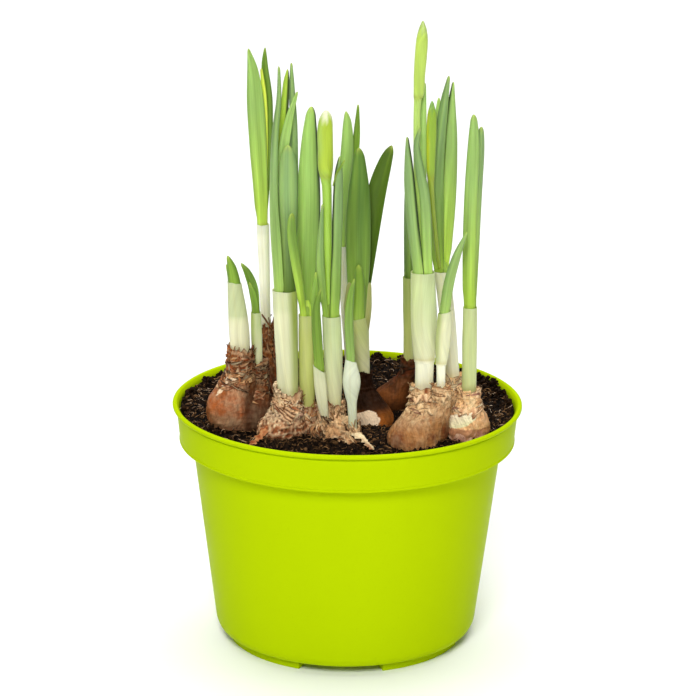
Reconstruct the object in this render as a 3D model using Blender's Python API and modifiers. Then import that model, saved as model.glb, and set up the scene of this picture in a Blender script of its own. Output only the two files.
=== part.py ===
"""Dwarf daffodils in bud: fifteen shoots on eight bulbs, in compost, in a plastic grow pot.

The pot stands on z = 0 with its axis on the Z axis, and its front looks along -Y.
Lengths in this file are millimetres, made metres where a mesh is built.
"""
import math

import bmesh
import bpy
from mathutils import Matrix, Vector, noise

MM = 0.001

# Clearance left between two pieces that touch
GAP = 0.3

# Pot
RIM_RADIUS = 85.0
POT_HEIGHT = 119.0
WALL = 1.3
LIP_HEIGHT = 2.2
LIP_STAND_OFF = 1.9
BAND_HEIGHT = 19.5
BAND_FOOT_RADIUS = 81.3
BODY_TOP_RADIUS = 75.4
BASE_RADIUS = 63.6
POT_SEGMENTS = 44

# Four curved feet under the base, and the drain holes between them
FOOT_HEIGHT = 4.1
FOOT_OUTER_RADIUS = 59.0
FOOT_WIDTH = 7.0
FOOT_ARC = 50.0
FOOT_FIRST_ANGLE = 43.0
FOOT_COUNT = 4
DRAIN_RADIUS = 3.5
DRAIN_CIRCLE_RADIUS = 38.0
DRAIN_COUNT = 8

# Compost
SOIL_LEVEL = 114.2
SOIL_SEGMENTS = 34
SOIL_RING_STEP = 9.0
# Swells and hollows of its surface: centre x and y, reach in x and y, rise
SOIL_SWELLS = [
    (-18, -58, 20, 12, 2.2),
    (24, -2, 15, 17, -8.0),
    (22, -64, 16, 14, -2.6),
    (-52, -42, 16, 14, -2.6),
    (0, 66, 60, 26, 2.2),
    (-78, 0, 14, 30, 2.0),
    (78, 4, 12, 30, 1.8),
]

# Bulbs and shoots
NECK_COLLAR = 3.0
NECK_WALL = 1.5
SOCKET_CLEARANCE_HEIGHT = 16.0
SOCKET_DEPTH = 6.0
SHEATH_RIM = 1.2
LEAF_THICKNESS = 0.8
TIP_WIDTH = 0.9
TIP_ROUNDING = 0.9
BULB_SIDES = 12
SHEATH_SIDES = 10
STALK_SIDES = 8

# One entry for each shoot. Its sheath is a run of stations (x, y, z, half width), foot first.
# Its lobe is the swelling of the bulb under it. A leaf is a run of stations (x, y, z, width) from
# the sheath's mouth to the tip, turned by face degrees and channelled by cup, where a positive
# cup opens to the front.
SHOOTS = {
    1: {
        "bulb": 1,
        "lobe": {"x": -55, "y": -21, "z": 120, "radius": (12.9, 12.3), "slant": 1.5},
        "sheath": [(-51.2, -20, 147, 4.7), (-52, -20, 162, 4.8), (-54, -20, 183, 3.4)],
        "leaves": [
            {"at": [(-53.8, -20.5, 183, 6.2), (-55.2, -20.5, 190, 4.4), (-57.2, -20, 196, 1.2)],
             "face": 0, "cup": -0.15},
            {"at": [(-55.7, -18.8, 183, 3.0), (-56.8, -18.6, 188, 2.2), (-57.8, -19, 191.5, 1.0)],
             "face": -10, "cup": 0.1},
        ],
    },
    2: {
        "bulb": 1,
        "lobe": {"x": -45.5, "y": -23, "z": 117, "radius": (9.4, 9.4), "wall": 2.6},
        "sheath": [(-43.3, -15, 140, 2.4), (-43.6, -15, 153, 2.7), (-44, -15, 167, 2.4)],
        "leaves": [
            {"at": [(-44.2, -14.6, 167, 4.0), (-45.2, -14.6, 178, 4.6), (-47.8, -14.6, 186, 3.6),
                    (-51, -14.6, 191, 1.0)], "face": 10, "cup": 0.2},
            {"at": [(-43.9, -16, 167, 4.0), (-45, -16, 175, 3.6), (-47, -16, 182, 1.0)],
             "face": 0, "cup": -0.2},
        ],
    },
    3: {
        "bulb": 2,
        "lobe": {"x": -37, "y": 14, "z": 117, "radius": (9.5, 9.0)},
        "sheath": [(-40, 14, 150, 2.3), (-40.8, 14, 176, 2.7), (-41.6, 14, 203, 3.1)],
        "leaves": [
            {"at": [(-42, 13, 203, 5.6), (-42.6, 12.8, 220, 7.0), (-43.7, 12.5, 240, 8.2),
                    (-45, 12, 262, 8.2), (-46.3, 12, 278, 5.4), (-48.4, 12, 289, 1.0)],
             "face": 5, "cup": -0.12},
            {"at": [(-41, 15.4, 203, 4.2), (-39, 17.2, 235, 5.4), (-38.4, 18, 262, 5.2),
                    (-40.2, 18, 279, 3.8), (-40.6, 18, 288.5, 1.0)], "face": -30, "cup": 0.3},
            {"at": [(-41.4, 14.3, 203, 2.8), (-40.6, 15, 235, 3.0), (-40.8, 15.2, 262, 2.6),
                    (-42.4, 15, 279, 1.2)], "face": 10, "cup": 0.0},
        ],
    },
    4: {
        "bulb": 3,
        "lobe": {"x": -31, "y": -37, "z": 115, "radius": (12.0, 11.0), "collar": 7.0, "slant": 3.6,
                 "wall": 2.0},
        "sheath": [(-28, -36, 127, 4.6), (-28.6, -36, 150, 5.3), (-29.8, -36, 184, 5.9)],
        "leaves": [
            {"at": [(-32.7, -38, 184, 5.6), (-34.4, -39, 209, 6.0), (-35.3, -39, 231, 4.8),
                    (-34.6, -39, 258, 3.9), (-32.8, -39, 276, 2.7), (-32.7, -39, 290.5, 1.4)],
             "face": -35, "cup": -0.15},
            {"at": [(-30.6, -36, 184, 4.0), (-32.3, -36, 232, 4.0), (-31.2, -35.6, 258, 4.2),
                    (-29.8, -35.4, 280, 3.4), (-28.8, -35.4, 288.5, 1.0)], "face": 20, "cup": 0.3},
            {"at": [(-27.2, -34, 184, 4.6), (-26.6, -33, 226, 5.4), (-26.1, -33, 258, 4.0),
                    (-26.8, -33, 278, 2.8), (-27.1, -33, 291, 1.0)], "face": -10, "cup": -0.15},
            {"at": [(-29, -37.4, 184, 4.4), (-30.8, -37.4, 226, 5.0), (-30.4, -37.4, 250, 4.8),
                    (-27.8, -37, 266, 3.6), (-24.2, -37, 278.5, 1.0)], "face": -5, "cup": 0.15},
            {"at": [(-27.6, -38.8, 184, 6.0), (-27.9, -40, 214, 7.8), (-28.4, -40, 236, 8.8),
                    (-28.4, -40, 254, 6.4)], "face": 0, "cup": -0.15},
        ],
    },
    5: {
        "bulb": 3,
        "lobe": {"x": -21.8, "y": -32, "z": 115.5, "radius": (7.6, 8.0), "wall": 1.8},
        "sheath": [(-18.8, -32, 123, 3.3), (-19.2, -32, 145, 3.9), (-19.5, -32, 171, 3.9)],
        "leaves": [
            {"at": [(-19.4, -31.4, 171, 6.2), (-19.8, -30.4, 197, 8.2), (-19.4, -29.6, 222, 9.8),
                    (-19.2, -29.4, 240, 8.4), (-18.6, -29.4, 256, 6.6), (-17.8, -29.4, 270, 3.6)],
             "face": 10, "cup": -0.2},
            {"at": [(-20.8, -33.8, 171, 3.4), (-22.4, -39.4, 185, 4.0), (-24.6, -42.6, 200, 4.6),
                    (-26.2, -44, 213, 4.6), (-26.3, -44.4, 223, 3.4)], "face": 20, "cup": -0.12},
        ],
    },
    6: {
        "bulb": 4,
        "lobe": {"x": -12.5, "y": -42, "z": 117, "radius": (5.0, 5.5)},
        "sheath": [(-10.2, -43, 121, 1.8), (-12, -43.5, 133, 2.7), (-13.4, -44, 148, 3.0)],
        "leaves": [
            {"at": [(-13.9, -43.2, 148, 3.4), (-15, -42.8, 166, 4.2), (-15.5, -42.6, 182, 3.6),
                    (-15.2, -42.6, 194.5, 1.0)], "face": -10, "cup": -0.15},
            {"at": [(-12.6, -44.6, 148, 3.8), (-14.2, -45.6, 166, 4.4), (-14.6, -45.6, 178, 3.6),
                    (-12.9, -45.6, 187, 1.0)], "face": 10, "cup": -0.2},
        ],
    },
    7: {
        "bulb": 4,
        "lobe": {"x": -6.6, "y": -37.5, "z": 115, "radius": (7.8, 7.8)},
        "sheath": [(-6.3, -37, 126, 3.4), (-6.8, -37, 150, 4.4), (-7.9, -37, 172, 4.4)],
        "leaves": [
            {"at": [(-10.6, -37.6, 172, 2.8), (-12.9, -38.6, 190, 4.2), (-13.4, -38.6, 204, 3.4),
                    (-12.4, -38.6, 226, 1.0)], "face": -10, "cup": -0.15},
            {"at": [(-6.2, -38.6, 172, 4.8), (-5.6, -39.4, 190, 4.8), (-5, -39.8, 205, 3.8),
                    (-4.5, -40, 222, 3.6), (-4.6, -40, 240, 3.4), (-4.6, -40, 249, 1.0)],
             "face": 10, "cup": -0.15},
            {"at": [(-7.3, -39.6, 236, 1.4), (-5.7, -40.3, 241, 1.8), (-3.9, -40.7, 244.4, 1.6),
                    (-2.2, -41, 247.6, 0.9)], "face": 40, "cup": 0.0},
        ],
    },
    8: {
        "bulb": 4,
        "lobe": {"x": 3, "y": -46, "z": 113, "radius": (6.0, 6.0)},
        "sheath": [(2.8, -46.6, 117, 1.9), (2.2, -46.4, 131, 2.3), (2, -46.2, 135, 2.9),
                   (1.9, -46.2, 143, 4.2), (1.5, -46, 152.5, 2.7)],
        "leaves": [
            {"at": [(1.6, -46, 152.5, 4.0), (0.5, -46.4, 170, 4.2), (0.9, -46.4, 183, 3.2),
                    (2.7, -46.4, 192.5, 1.0)], "face": 5, "cup": -0.2},
        ],
    },
    9: {
        "bulb": 5,
        "lobe": {"x": 12, "y": -12, "z": 113, "radius": (10.6, 10.2)},
        "sheath": [(8.4, -8, 133, 2.3), (6, -8, 148, 4.4), (4.2, -8, 163, 5.6)],
        "leaves": [
            {"at": [(4.3, -9, 163, 7.6), (4.6, -9.4, 186, 11.0), (4.4, -9.4, 206, 12.0),
                    (4.6, -9, 224, 10.2), (4.6, -8.6, 236, 7.0), (4.3, -8.4, 246, 4.0)],
             "face": 0, "cup": -0.15},
            {"at": [(6, -5.6, 163, 5.0), (9.8, -3, 197, 8.0), (13.2, 0, 222, 9.0),
                    (16.8, 1.6, 236, 6.8), (20.0, 2, 245, 3.0)], "face": -10, "cup": 0.2},
            {"at": [(4.8, -10.6, 163, 6.0), (5.2, -11.8, 178, 5.4), (4.8, -12, 190, 3.0)],
             "face": 0, "cup": -0.2},
        ],
        "flaps": [
            {"at": [(0.6, -10.6, 158, 4.2), (-0.2, -13.4, 170, 4.2), (0.4, -14, 182, 2.4)],
             "face": -20, "cup": -0.1},
            {"at": [(9.6, -8.6, 158, 2.6), (11.2, -10.4, 170, 2.8), (11.2, -10.8, 181, 2.0)],
             "face": 55, "cup": -0.1},
        ],
    },
    10: {
        "bulb": 6,
        "lobe": {"x": 21.5, "y": 19, "z": 113, "radius": (9.2, 9.0)},
        "sheath": [(30, 18, 132, 2.4), (29.8, 18, 155, 2.9), (29.6, 18, 176, 3.2)],
        "leaves": [
            {"at": [(29.2, 18, 176, 4.6), (28.6, 18, 200, 4.4), (27.9, 18, 216, 2.8),
                    (27.6, 18, 224, 1.0)], "face": -10, "cup": -0.2},
        ],
    },
    11: {
        "bulb": 7,
        "lobe": {"x": 32, "y": -45, "z": 113.5, "radius": (13.3, 12.0), "wall": 2.2},
        "sheath": [(36, -42, 135, 4.1), (36, -42, 150, 4.5), (35.9, -42, 153, 5.0),
                   (35.4, -42, 172, 6.1), (34.5, -42, 195, 5.6)],
        "leaves": [
            {"at": [(32.4, -44, 195, 5.2), (29.6, -44.8, 215, 5.8), (27.6, -44.8, 235, 5.4),
                    (26.8, -44.8, 248, 3.8), (26.2, -44.8, 259.5, 1.2)], "face": -15, "cup": -0.2},
            {"at": [(37, -42.6, 195, 4.6), (35.2, -43.4, 228, 4.9), (32.6, -43.6, 243, 4.2),
                    (30.7, -43.6, 255, 3.0), (32.2, -43.6, 263.5, 1.2)], "face": 10, "cup": -0.2},
            {"at": [(34.6, -39.6, 195, 3.4), (34.2, -36, 222, 3.4), (33.9, -35.6, 245, 3.4),
                    (33.6, -35.6, 270, 3.0), (34, -35.6, 283, 1.4)], "face": 0, "cup": -0.1},
        ],
    },
    12: {
        "bulb": 7,
        "lobe": {"x": 41, "y": -45.5, "z": 118, "radius": (6.8, 6.6), "collar": 7.0, "wall": 2.4},
        "sheath": [(44, -47, 134, 1.9), (43.6, -47, 150, 2.2), (43.7, -47, 152.5, 2.7),
                   (44.4, -47, 165, 3.6), (44.9, -47, 177, 3.2)],
        "leaves": [
            {"at": [(44.9, -47, 177, 5.0), (46.9, -47, 191, 5.0), (50.2, -47, 204, 3.9),
                    (54.4, -47, 215.5, 0.9)], "face": 10, "cup": -0.25},
        ],
    },
    13: {
        "bulb": 8,
        "lobe": {"x": 50.4, "y": -30.4, "z": 119, "radius": (8.4, 8.0), "wall": 2.2},
        "sheath": [(50.2, -29, 138, 3.1), (47.4, -29, 165, 3.6), (43.8, -29, 192, 3.9)],
        "leaves": [
            {"at": [(41.8, -29.4, 192, 5.4), (40.9, -29.6, 222, 5.9), (41.2, -29.6, 244, 4.8),
                    (43.4, -29.6, 270, 3.6), (45.3, -29.6, 285, 1.2)], "face": -12, "cup": -0.15},
            {"at": [(45.4, -27.6, 192, 5.0), (47.2, -26, 225, 6.1), (47.8, -26, 252, 5.0),
                    (47.5, -26, 270, 3.0), (47.5, -26, 281.5, 1.0)], "face": 12, "cup": -0.15},
            {"at": [(43.3, -27.6, 192, 3.4), (41.6, -26.2, 235, 4.0), (40.7, -26, 262, 3.2),
                    (41, -26, 274, 1.2)], "face": -5, "cup": 0.1},
        ],
    },
    14: {
        "bulb": 8,
        "lobe": {"x": 56.6, "y": -37, "z": 117, "radius": (11.2, 10.6), "collar": 4.5, "wall": 2.2},
        "sheath": [(57.4, -38, 133, 3.3), (57.2, -38, 155, 3.5), (57, -38, 177, 3.3)],
        "leaves": [
            {"at": [(56.4, -38.8, 177, 6.0), (56, -39, 205, 6.4), (56.2, -39, 232, 6.2),
                    (56.9, -39, 255, 5.4), (56.7, -39, 269, 2.6)], "face": -5, "cup": -0.2},
            {"at": [(58.3, -36.8, 177, 4.0), (59.4, -35.6, 230, 5.2), (60.2, -35.2, 250, 4.8),
                    (60.5, -35.2, 262.5, 3.0)], "face": 20, "cup": -0.15},
        ],
    },
    15: {
        "bulb": 5,
        "lobe": {"x": 6.4, "y": 1.5, "z": 112, "radius": (6.6, 6.6)},
        "sheath": [(2.4, 4.6, 126, 2.4), (-0.6, 4.6, 160, 2.7), (-2.7, 4.6, 195, 2.7)],
        "leaves": [
            {"at": [(-3.1, 3.8, 195, 4.4), (-3.6, 3, 206, 4.8), (-2.8, 2.6, 223, 6.2),
                    (-1.1, 2.6, 241, 6.3), (-1.1, 2.6, 254.5, 4.4), (-1.9, 2.6, 261.2, 1.2)],
             "face": 10, "cup": -0.15},
            {"at": [(-1.2, 5.6, 195, 3.0), (0.4, 6, 217, 3.8), (2.1, 6.2, 237, 3.6),
                    (2.9, 6.2, 250, 3.4), (3.7, 6.2, 263.8, 1.0)], "face": 20, "cup": 0.35},
        ],
    },
}

# Buds: stations (x, y, z, half width) from the foot of the stalk, sunk in its shoot, to the tip
BUDS = {
    7: [(-8.7, -36.7, 173.5, 1.3), (-9.7, -36.4, 203, 2.0), (-10.1, -36.4, 230, 2.1),
        (-10.5, -36.4, 235.5, 2.3), (-11.1, -36.4, 240, 2.9), (-11.4, -36.4, 243.5, 3.2),
        (-11.6, -36.4, 252, 3.4), (-11.6, -36.4, 261, 3.3), (-11.6, -36.4, 266.2, 2.4),
        (-11.6, -36.4, 269.2, 0.8)],
    11: [(33.8, -41.2, 196.5, 1.4), (31.5, -39.8, 229, 1.5), (30.3, -39.4, 266, 1.6),
         (30.4, -39.4, 274, 1.9), (30.8, -39.4, 280, 2.4), (31.1, -39.4, 288, 2.8),
         (31.6, -39.4, 297, 2.8), (32, -39.4, 306, 2.0), (32.2, -39.4, 312, 0.4)],
    13: [(42.6, -30.8, 193.5, 0.9), (41.2, -32.6, 203, 1.0), (38.4, -34.2, 228, 1.1),
         (37.3, -34.4, 245, 1.8), (37.2, -34.4, 257, 2.0), (37.3, -34.4, 267, 1.8),
         (37.5, -34.4, 273, 0.4)],
}

# One bulb keeps its old skin: a papery tail of it lies on the compost in front of the least nose
SKIN_BULB = 4
TAIL = [(4.2, -49, 117.5, 4.6), (8.4, -56, 116.4, 5.0), (11.6, -63.4, 115.2, 3.0)]

# The bell of old skin round the same bulb, as rings (x, y, z, x radius, y radius)
OLD_SKIN = [(-4, -41, 104, 5, 4), (-4, -41, 108, 9, 7), (-3.6, -41, 113.5, 11, 8.4),
            (-4.6, -41, 118.5, 9.8, 7.4), (-5.6, -40.4, 122.5, 8, 6)]

SKIN = ((0.35, 0.18, 0.08), 0.75)
CREAM = ((0.80, 0.79, 0.52), 0.45)
LEAF_GREEN = ((0.30, 0.52, 0.15), 0.42)
BUD_GREEN = ((0.52, 0.70, 0.12), 0.40)
POT_GREEN = ((0.47, 0.72, 0.0), 0.35)
COMPOST = ((0.035, 0.018, 0.009), 0.95)


def material(name, look):
    """A Principled material from a colour and a roughness; nothing on this object is metal."""
    colour, roughness = look
    made = bpy.data.materials.new(name)
    made.use_nodes = True
    shader = made.node_tree.nodes["Principled BSDF"]
    shader.inputs["Base Color"].default_value = (*colour, 1.0)
    shader.inputs["Roughness"].default_value = roughness
    shader.inputs["Metallic"].default_value = 0.0
    return made


def add_object(name, bm, collection, look=None):
    """Turn a bmesh in millimetres into an object in metres."""
    bmesh.ops.scale(bm, vec=(MM, MM, MM), verts=bm.verts)
    bmesh.ops.recalc_face_normals(bm, faces=bm.faces)
    mesh = bpy.data.meshes.new(name)
    bm.to_mesh(mesh)
    bm.free()
    obj = bpy.data.objects.new(name, mesh)
    collection.objects.link(obj)
    if look is not None:
        mesh.materials.append(material(name, look))
    return obj


def bake_modifiers(obj):
    """Replace an object's mesh by its evaluated one."""
    depsgraph = bpy.context.evaluated_depsgraph_get()
    baked = bpy.data.meshes.new_from_object(obj.evaluated_get(depsgraph))
    obj.modifiers.clear()
    old = obj.data
    obj.data = baked
    baked.name = obj.name
    bpy.data.meshes.remove(old)


def remove_objects(objects):
    for obj in objects:
        mesh = obj.data
        bpy.data.objects.remove(obj)
        bpy.data.meshes.remove(mesh)


def fuse(obj, pieces, operation="UNION"):
    """Join pieces to an object, or cut them from it, with one Boolean on their collection."""
    if not pieces:
        return obj
    group = bpy.data.collections.new(obj.name + "_pieces")
    bpy.context.scene.collection.children.link(group)
    for piece in pieces:
        for holder in list(piece.users_collection):
            holder.objects.unlink(piece)
        group.objects.link(piece)
    joined = obj.modifiers.new("Join", "BOOLEAN")
    joined.operation = operation
    joined.operand_type = "COLLECTION"
    joined.collection = group
    joined.solver = "EXACT"
    bake_modifiers(obj)
    remove_objects(pieces)
    bpy.data.collections.remove(group)
    return obj


def smooth(obj, angle=50):
    obj.data.shade_smooth()
    obj.data.set_sharp_from_angle(angle=math.radians(angle))


def turned(name, profile, segments, collection, look=None):
    """A turned solid: a profile in the XZ plane, spun round Z by a Screw modifier."""
    mesh = bpy.data.meshes.new(name)
    points = [(r * MM, 0.0, z * MM) for r, z in profile]
    mesh.from_pydata(points, [(i, i + 1) for i in range(len(points) - 1)], [])
    obj = bpy.data.objects.new(name, mesh)
    collection.objects.link(obj)
    if look is not None:
        mesh.materials.append(material(name, look))
    screw = obj.modifiers.new("Turn", "SCREW")
    screw.angle = math.tau
    screw.steps = screw.render_steps = segments
    screw.use_merge_vertices = True
    screw.merge_threshold = 0.00005
    bake_modifiers(obj)
    return obj


def loft(rings, sides):
    """A closed bmesh through level elliptic rings (x, y, z, x radius, y radius), first to last."""
    bm = bmesh.new()
    bmesh.ops.create_circle(bm, cap_ends=True, radius=1.0, segments=sides)
    edges = list(bm.edges)
    x, y, z, rx, ry = rings[0]
    for vert in bm.verts:
        vert.co = Vector((x + rx * vert.co.x, y + ry * vert.co.y, z))
    for before, after in zip(rings, rings[1:]):
        grown = bmesh.ops.extrude_edge_only(bm, edges=edges)["geom"]
        edges = [item for item in grown if isinstance(item, bmesh.types.BMEdge)]
        for vert in (item for item in grown if isinstance(item, bmesh.types.BMVert)):
            across = (vert.co.x - before[0]) / before[3]
            deep = (vert.co.y - before[1]) / before[4]
            vert.co = Vector((after[0] + after[3] * across, after[1] + after[4] * deep, after[2]))
    bmesh.ops.holes_fill(bm, edges=edges, sides=0)
    return bm


def smooth_run(stations, count, sharpen=1.0):
    """Points read from a Catmull-Rom curve through the stations, closer together at the end."""
    points = [Vector(s) for s in stations]
    if len(points) == 2:
        points.insert(1, (points[0] + points[1]) / 2)
    first = points[0] * 2 - points[1]
    last = points[-1] * 2 - points[-2]
    padded = [first] + points + [last]
    spans = len(points) - 1
    run = []
    for i in range(count + 1):
        place = spans * (1 - (1 - i / count) ** sharpen)
        span = min(int(place), spans - 1)
        t = place - span
        a, b, c, d = padded[span:span + 4]
        run.append(0.5 * (2 * b + (c - a) * t + (2 * a - 5 * b + 4 * c - d) * t ** 2
                          + (3 * b - a - 3 * c + d) * t ** 3))
    return run


def blade(name, leaf, rows, columns, collection):
    """A strap leaf: a grid bent along its stations and given its thickness."""
    stations = [Vector((x, y, z, width)) for x, y, z, width in leaf["at"]]
    run = smooth_run(stations, rows, sharpen=1.5)
    tip = Vector(run[-1][:3])
    round_length = TIP_ROUNDING * stations[-1][3]
    bm = bmesh.new()
    bmesh.ops.create_grid(bm, x_segments=columns, y_segments=rows, size=1.0)
    turn = math.radians(leaf["face"])
    front = Vector(leaf.get("front", (math.sin(turn), -math.cos(turn), 0.0)))
    for vert in bm.verts:
        across = vert.co.x
        row = round((vert.co.y + 1) / 2 * rows)
        here = run[row]
        ahead = run[min(row + 1, rows)] - run[max(row - 1, 0)]
        along = Vector(ahead[:3]).normalized()
        side = along.cross(front).normalized()
        out = side.cross(along).normalized()
        near_tip = 1 - min((tip - Vector(here[:3])).length / round_length, 1.0)
        width = max(here[3] * math.sqrt(1 - near_tip ** 2), TIP_WIDTH)
        channel = leaf["cup"] * width * across ** 2
        vert.co = Vector(here[:3]) + side * (across * width / 2) + out * channel
    bmesh.ops.triangulate(bm, faces=bm.faces)
    bmesh.ops.recalc_face_normals(bm, faces=bm.faces)
    obj = add_object(name, bm, collection)
    shell = obj.modifiers.new("Thickness", "SOLIDIFY")
    shell.thickness = LEAF_THICKNESS * MM
    shell.offset = 0.0
    bake_modifiers(obj)
    return obj


def sheath_ring(stations, z, grow=0.0):
    """The sheath's ring at one height: between its stations, with grow added all round."""
    low, high = stations[0], stations[1]
    for low, high in zip(stations, stations[1:]):
        if z <= high[2]:
            break
    t = (z - low[2]) / (high[2] - low[2])
    x, y, half = (low[i] + (high[i] - low[i]) * t for i in (0, 1, 3))
    return (x, y, z, half + grow, half * 0.72 + grow)


def sheath(number, shoot, plant, scratch):
    """The cream sheath: solid below, with a socket in its mouth for the leaves."""
    stations = shoot["sheath"]
    mouth = stations[-1][2]
    heights = [s[2] for s in stations]
    if len(heights) == 3:
        heights = [heights[0], (heights[0] + heights[1]) / 2, heights[1],
                   (heights[1] + heights[2]) / 2, heights[2]]
    rings = [sheath_ring(stations, z) for z in heights]
    rings.append(sheath_ring(stations, mouth, -SHEATH_RIM))
    floor = sheath_ring(stations, mouth - SOCKET_DEPTH, -SHEATH_RIM)
    rim = rings[-1]
    rings.append((floor[0], floor[1], floor[2], min(floor[3], rim[3]), min(floor[4], rim[4])))
    obj = add_object(f"sheath_{number}", loft(rings, SHEATH_SIDES), plant, CREAM)
    flaps = [blade("flap", flap, 5, 2, scratch) for flap in shoot.get("flaps", [])]
    fuse(obj, flaps)
    smooth(obj)
    return obj


def stalk_hole(stations, mouth, scratch):
    """The plain hole in the core that a bud's stalk stands in."""
    foot, ahead = stations[0], stations[1]
    lean = (ahead[2] - foot[2])
    rings = []
    for z in (foot[2] - GAP, mouth + 12):
        t = (z - foot[2]) / lean
        x, y, half = (foot[i] + (ahead[i] - foot[i]) * t for i in (0, 1, 3))
        rings.append((x, y, z, half + GAP, half * 0.9 + GAP))
    return add_object("stalk_hole", loft(rings, STALK_SIDES), scratch)


def leaves(number, shoot, plant, scratch):
    """A shoot's leaves, joined at a core that stands in the sheath's socket."""
    stations = shoot["sheath"]
    mouth = stations[-1][2]
    x, y, z, rx, ry = sheath_ring(stations, mouth)
    low = sheath_ring(stations, mouth - SOCKET_DEPTH + GAP, -SHEATH_RIM - GAP)
    neck = (x, y, mouth, rx - SHEATH_RIM - GAP, ry - SHEATH_RIM - GAP)
    lean = ((x - low[0]) / SOCKET_DEPTH, (y - low[1]) / SOCKET_DEPTH)
    rings = [
        (low[0], low[1], low[2], min(low[3], neck[3]), min(low[4], neck[4])),
        (x, y, mouth + GAP, neck[3], neck[4]),
        (x, y, mouth + GAP, rx * 0.96, ry * 0.96),
        (x + lean[0] * 3, y + lean[1] * 3, mouth + 3, rx * 0.9, ry * 0.8),
        (x + lean[0] * 8, y + lean[1] * 8, mouth + 8, rx * 0.4, ry * 0.3),
    ]
    obj = add_object(f"leaves_{number}", loft(rings, SHEATH_SIDES), plant, LEAF_GREEN)
    blades = []
    for leaf in shoot["leaves"]:
        raised = dict(leaf)
        x0, y0, z0, width = leaf["at"][0]
        raised["at"] = [(x0, y0, z0 + 4 * GAP, width)] + leaf["at"][1:]
        length = leaf["at"][-1][2] - z0
        rows = max(4, min(8, round(length / 10)))
        columns = 4 if max(s[3] for s in leaf["at"]) > 7.5 else 2
        blades.append(blade("blade", raised, rows, columns, scratch))
    fuse(obj, blades)
    if number in BUDS:
        fuse(obj, [stalk_hole(BUDS[number], mouth, scratch)], "DIFFERENCE")
    smooth(obj)
    return obj


def lobe_rings(shoot, grow=0.0):
    """The body of one lobe of a bulb, from its rounded foot to its widest ring."""
    lobe = shoot["lobe"]
    rx, ry = lobe["radius"]
    depth = 0.95 * min(rx, ry)
    rings = []
    for angle in (72, 45, 22, 0):
        round_in = math.cos(math.radians(angle))
        z = lobe["z"] - depth * math.sin(math.radians(angle))
        rings.append((lobe["x"], lobe["y"], z - grow, rx * round_in + grow, ry * round_in + grow))
    return rings


def bulb_lobe(shoot, scratch):
    """One lobe of a bulb: a round body drawn up into a ragged neck round the sheath's foot."""
    lobe = shoot["lobe"]
    rings = lobe_rings(shoot)
    foot = shoot["sheath"][0]
    top = foot[2] + lobe.get("collar", NECK_COLLAR)
    slant = lobe.get("slant", 0.0)
    rx, ry = lobe["radius"]
    end = foot[3] + lobe.get("wall", NECK_WALL)
    for t in (0.22, 0.45, 0.7, 1.0):
        ease = (1 - math.cos(math.pi * min(t * 1.25, 1.0))) / 2
        rings.append((lobe["x"] + (foot[0] - lobe["x"]) * ease,
                      lobe["y"] + (foot[1] - lobe["y"]) * ease,
                      lobe["z"] + (top - lobe["z"]) * t,
                      rx + (end - rx) * ease,
                      ry + (end - ry) * ease))
    bm = loft(rings, BULB_SIDES)
    for vert in bm.verts:
        high = (vert.co.z - lobe["z"]) / (top - lobe["z"])
        if high > 0.1:
            wrinkle = noise.noise(vert.co * 0.31) * (0.7 + 0.5 * high)
            centre = Vector((foot[0], foot[1], vert.co.z))
            vert.co += (vert.co - centre).normalized() * wrinkle
        if high > 0.99:
            vert.co.z += noise.noise(vert.co * 0.9) * 1.6 - slant * (vert.co.x - foot[0]) / end
    return add_object("lobe", bm, scratch)


def socket_cutter(shoot, scratch):
    """What a sheath's foot needs, with its clearance, cut from the bulb and from its neighbours."""
    stations = shoot["sheath"]
    low, high = stations[0][2] - GAP, stations[0][2] + SOCKET_CLEARANCE_HEIGHT
    rings = [sheath_ring(stations, z, GAP) for z in (low, (low + high) / 2, high)]
    return add_object("socket", loft(rings, SHEATH_SIDES), scratch)


def old_skin(scratch):
    """The wide bell of old fibrous skin that holds the noses of bulb_4 together."""
    return add_object("old_skin", loft(OLD_SKIN, BULB_SIDES), scratch)


def tail(scratch):
    """The papery tail of old skin on the front nose of bulb_4, lying on the compost."""
    return blade("tail", {"at": TAIL, "face": 0, "front": (0, 0, 1), "cup": -0.1}, 4, 2, scratch)


def bulb(number, shoots, plant, scratch):
    lobes = [bulb_lobe(shoot, scratch) for shoot in shoots]
    obj = lobes.pop(0)
    obj.name = f"bulb_{number}"
    scratch.objects.unlink(obj)
    plant.objects.link(obj)
    obj.data.materials.append(material(obj.name, SKIN))
    if number == SKIN_BULB:
        lobes.append(tail(scratch))
        lobes.append(old_skin(scratch))
    fuse(obj, lobes)
    fuse(obj, [socket_cutter(shoot, scratch) for shoot in shoots], "DIFFERENCE")
    smooth(obj, 60)
    return obj


def bud(number, stations, plant):
    """A closed bud on its stalk."""
    rings = [(x, y, z, half, half * 0.9) for x, y, z, half in stations]
    obj = add_object(f"bud_{number}", loft(rings, STALK_SIDES), plant, BUD_GREEN)
    smooth(obj)
    return obj


def soil_height(x, y):
    """The compost's surface: crumbly, banked against the wall and hollow beside bulb_5."""
    place = Vector((x, y, 0.0))
    height = SOIL_LEVEL + 0.9 * noise.noise(place * 0.11) + 0.8 * noise.noise(place * 0.33)
    for centre_x, centre_y, reach_x, reach_y, rise in SOIL_SWELLS:
        height += rise * math.exp(-((x - centre_x) / reach_x) ** 2 - ((y - centre_y) / reach_y) ** 2)
    return height


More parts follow.
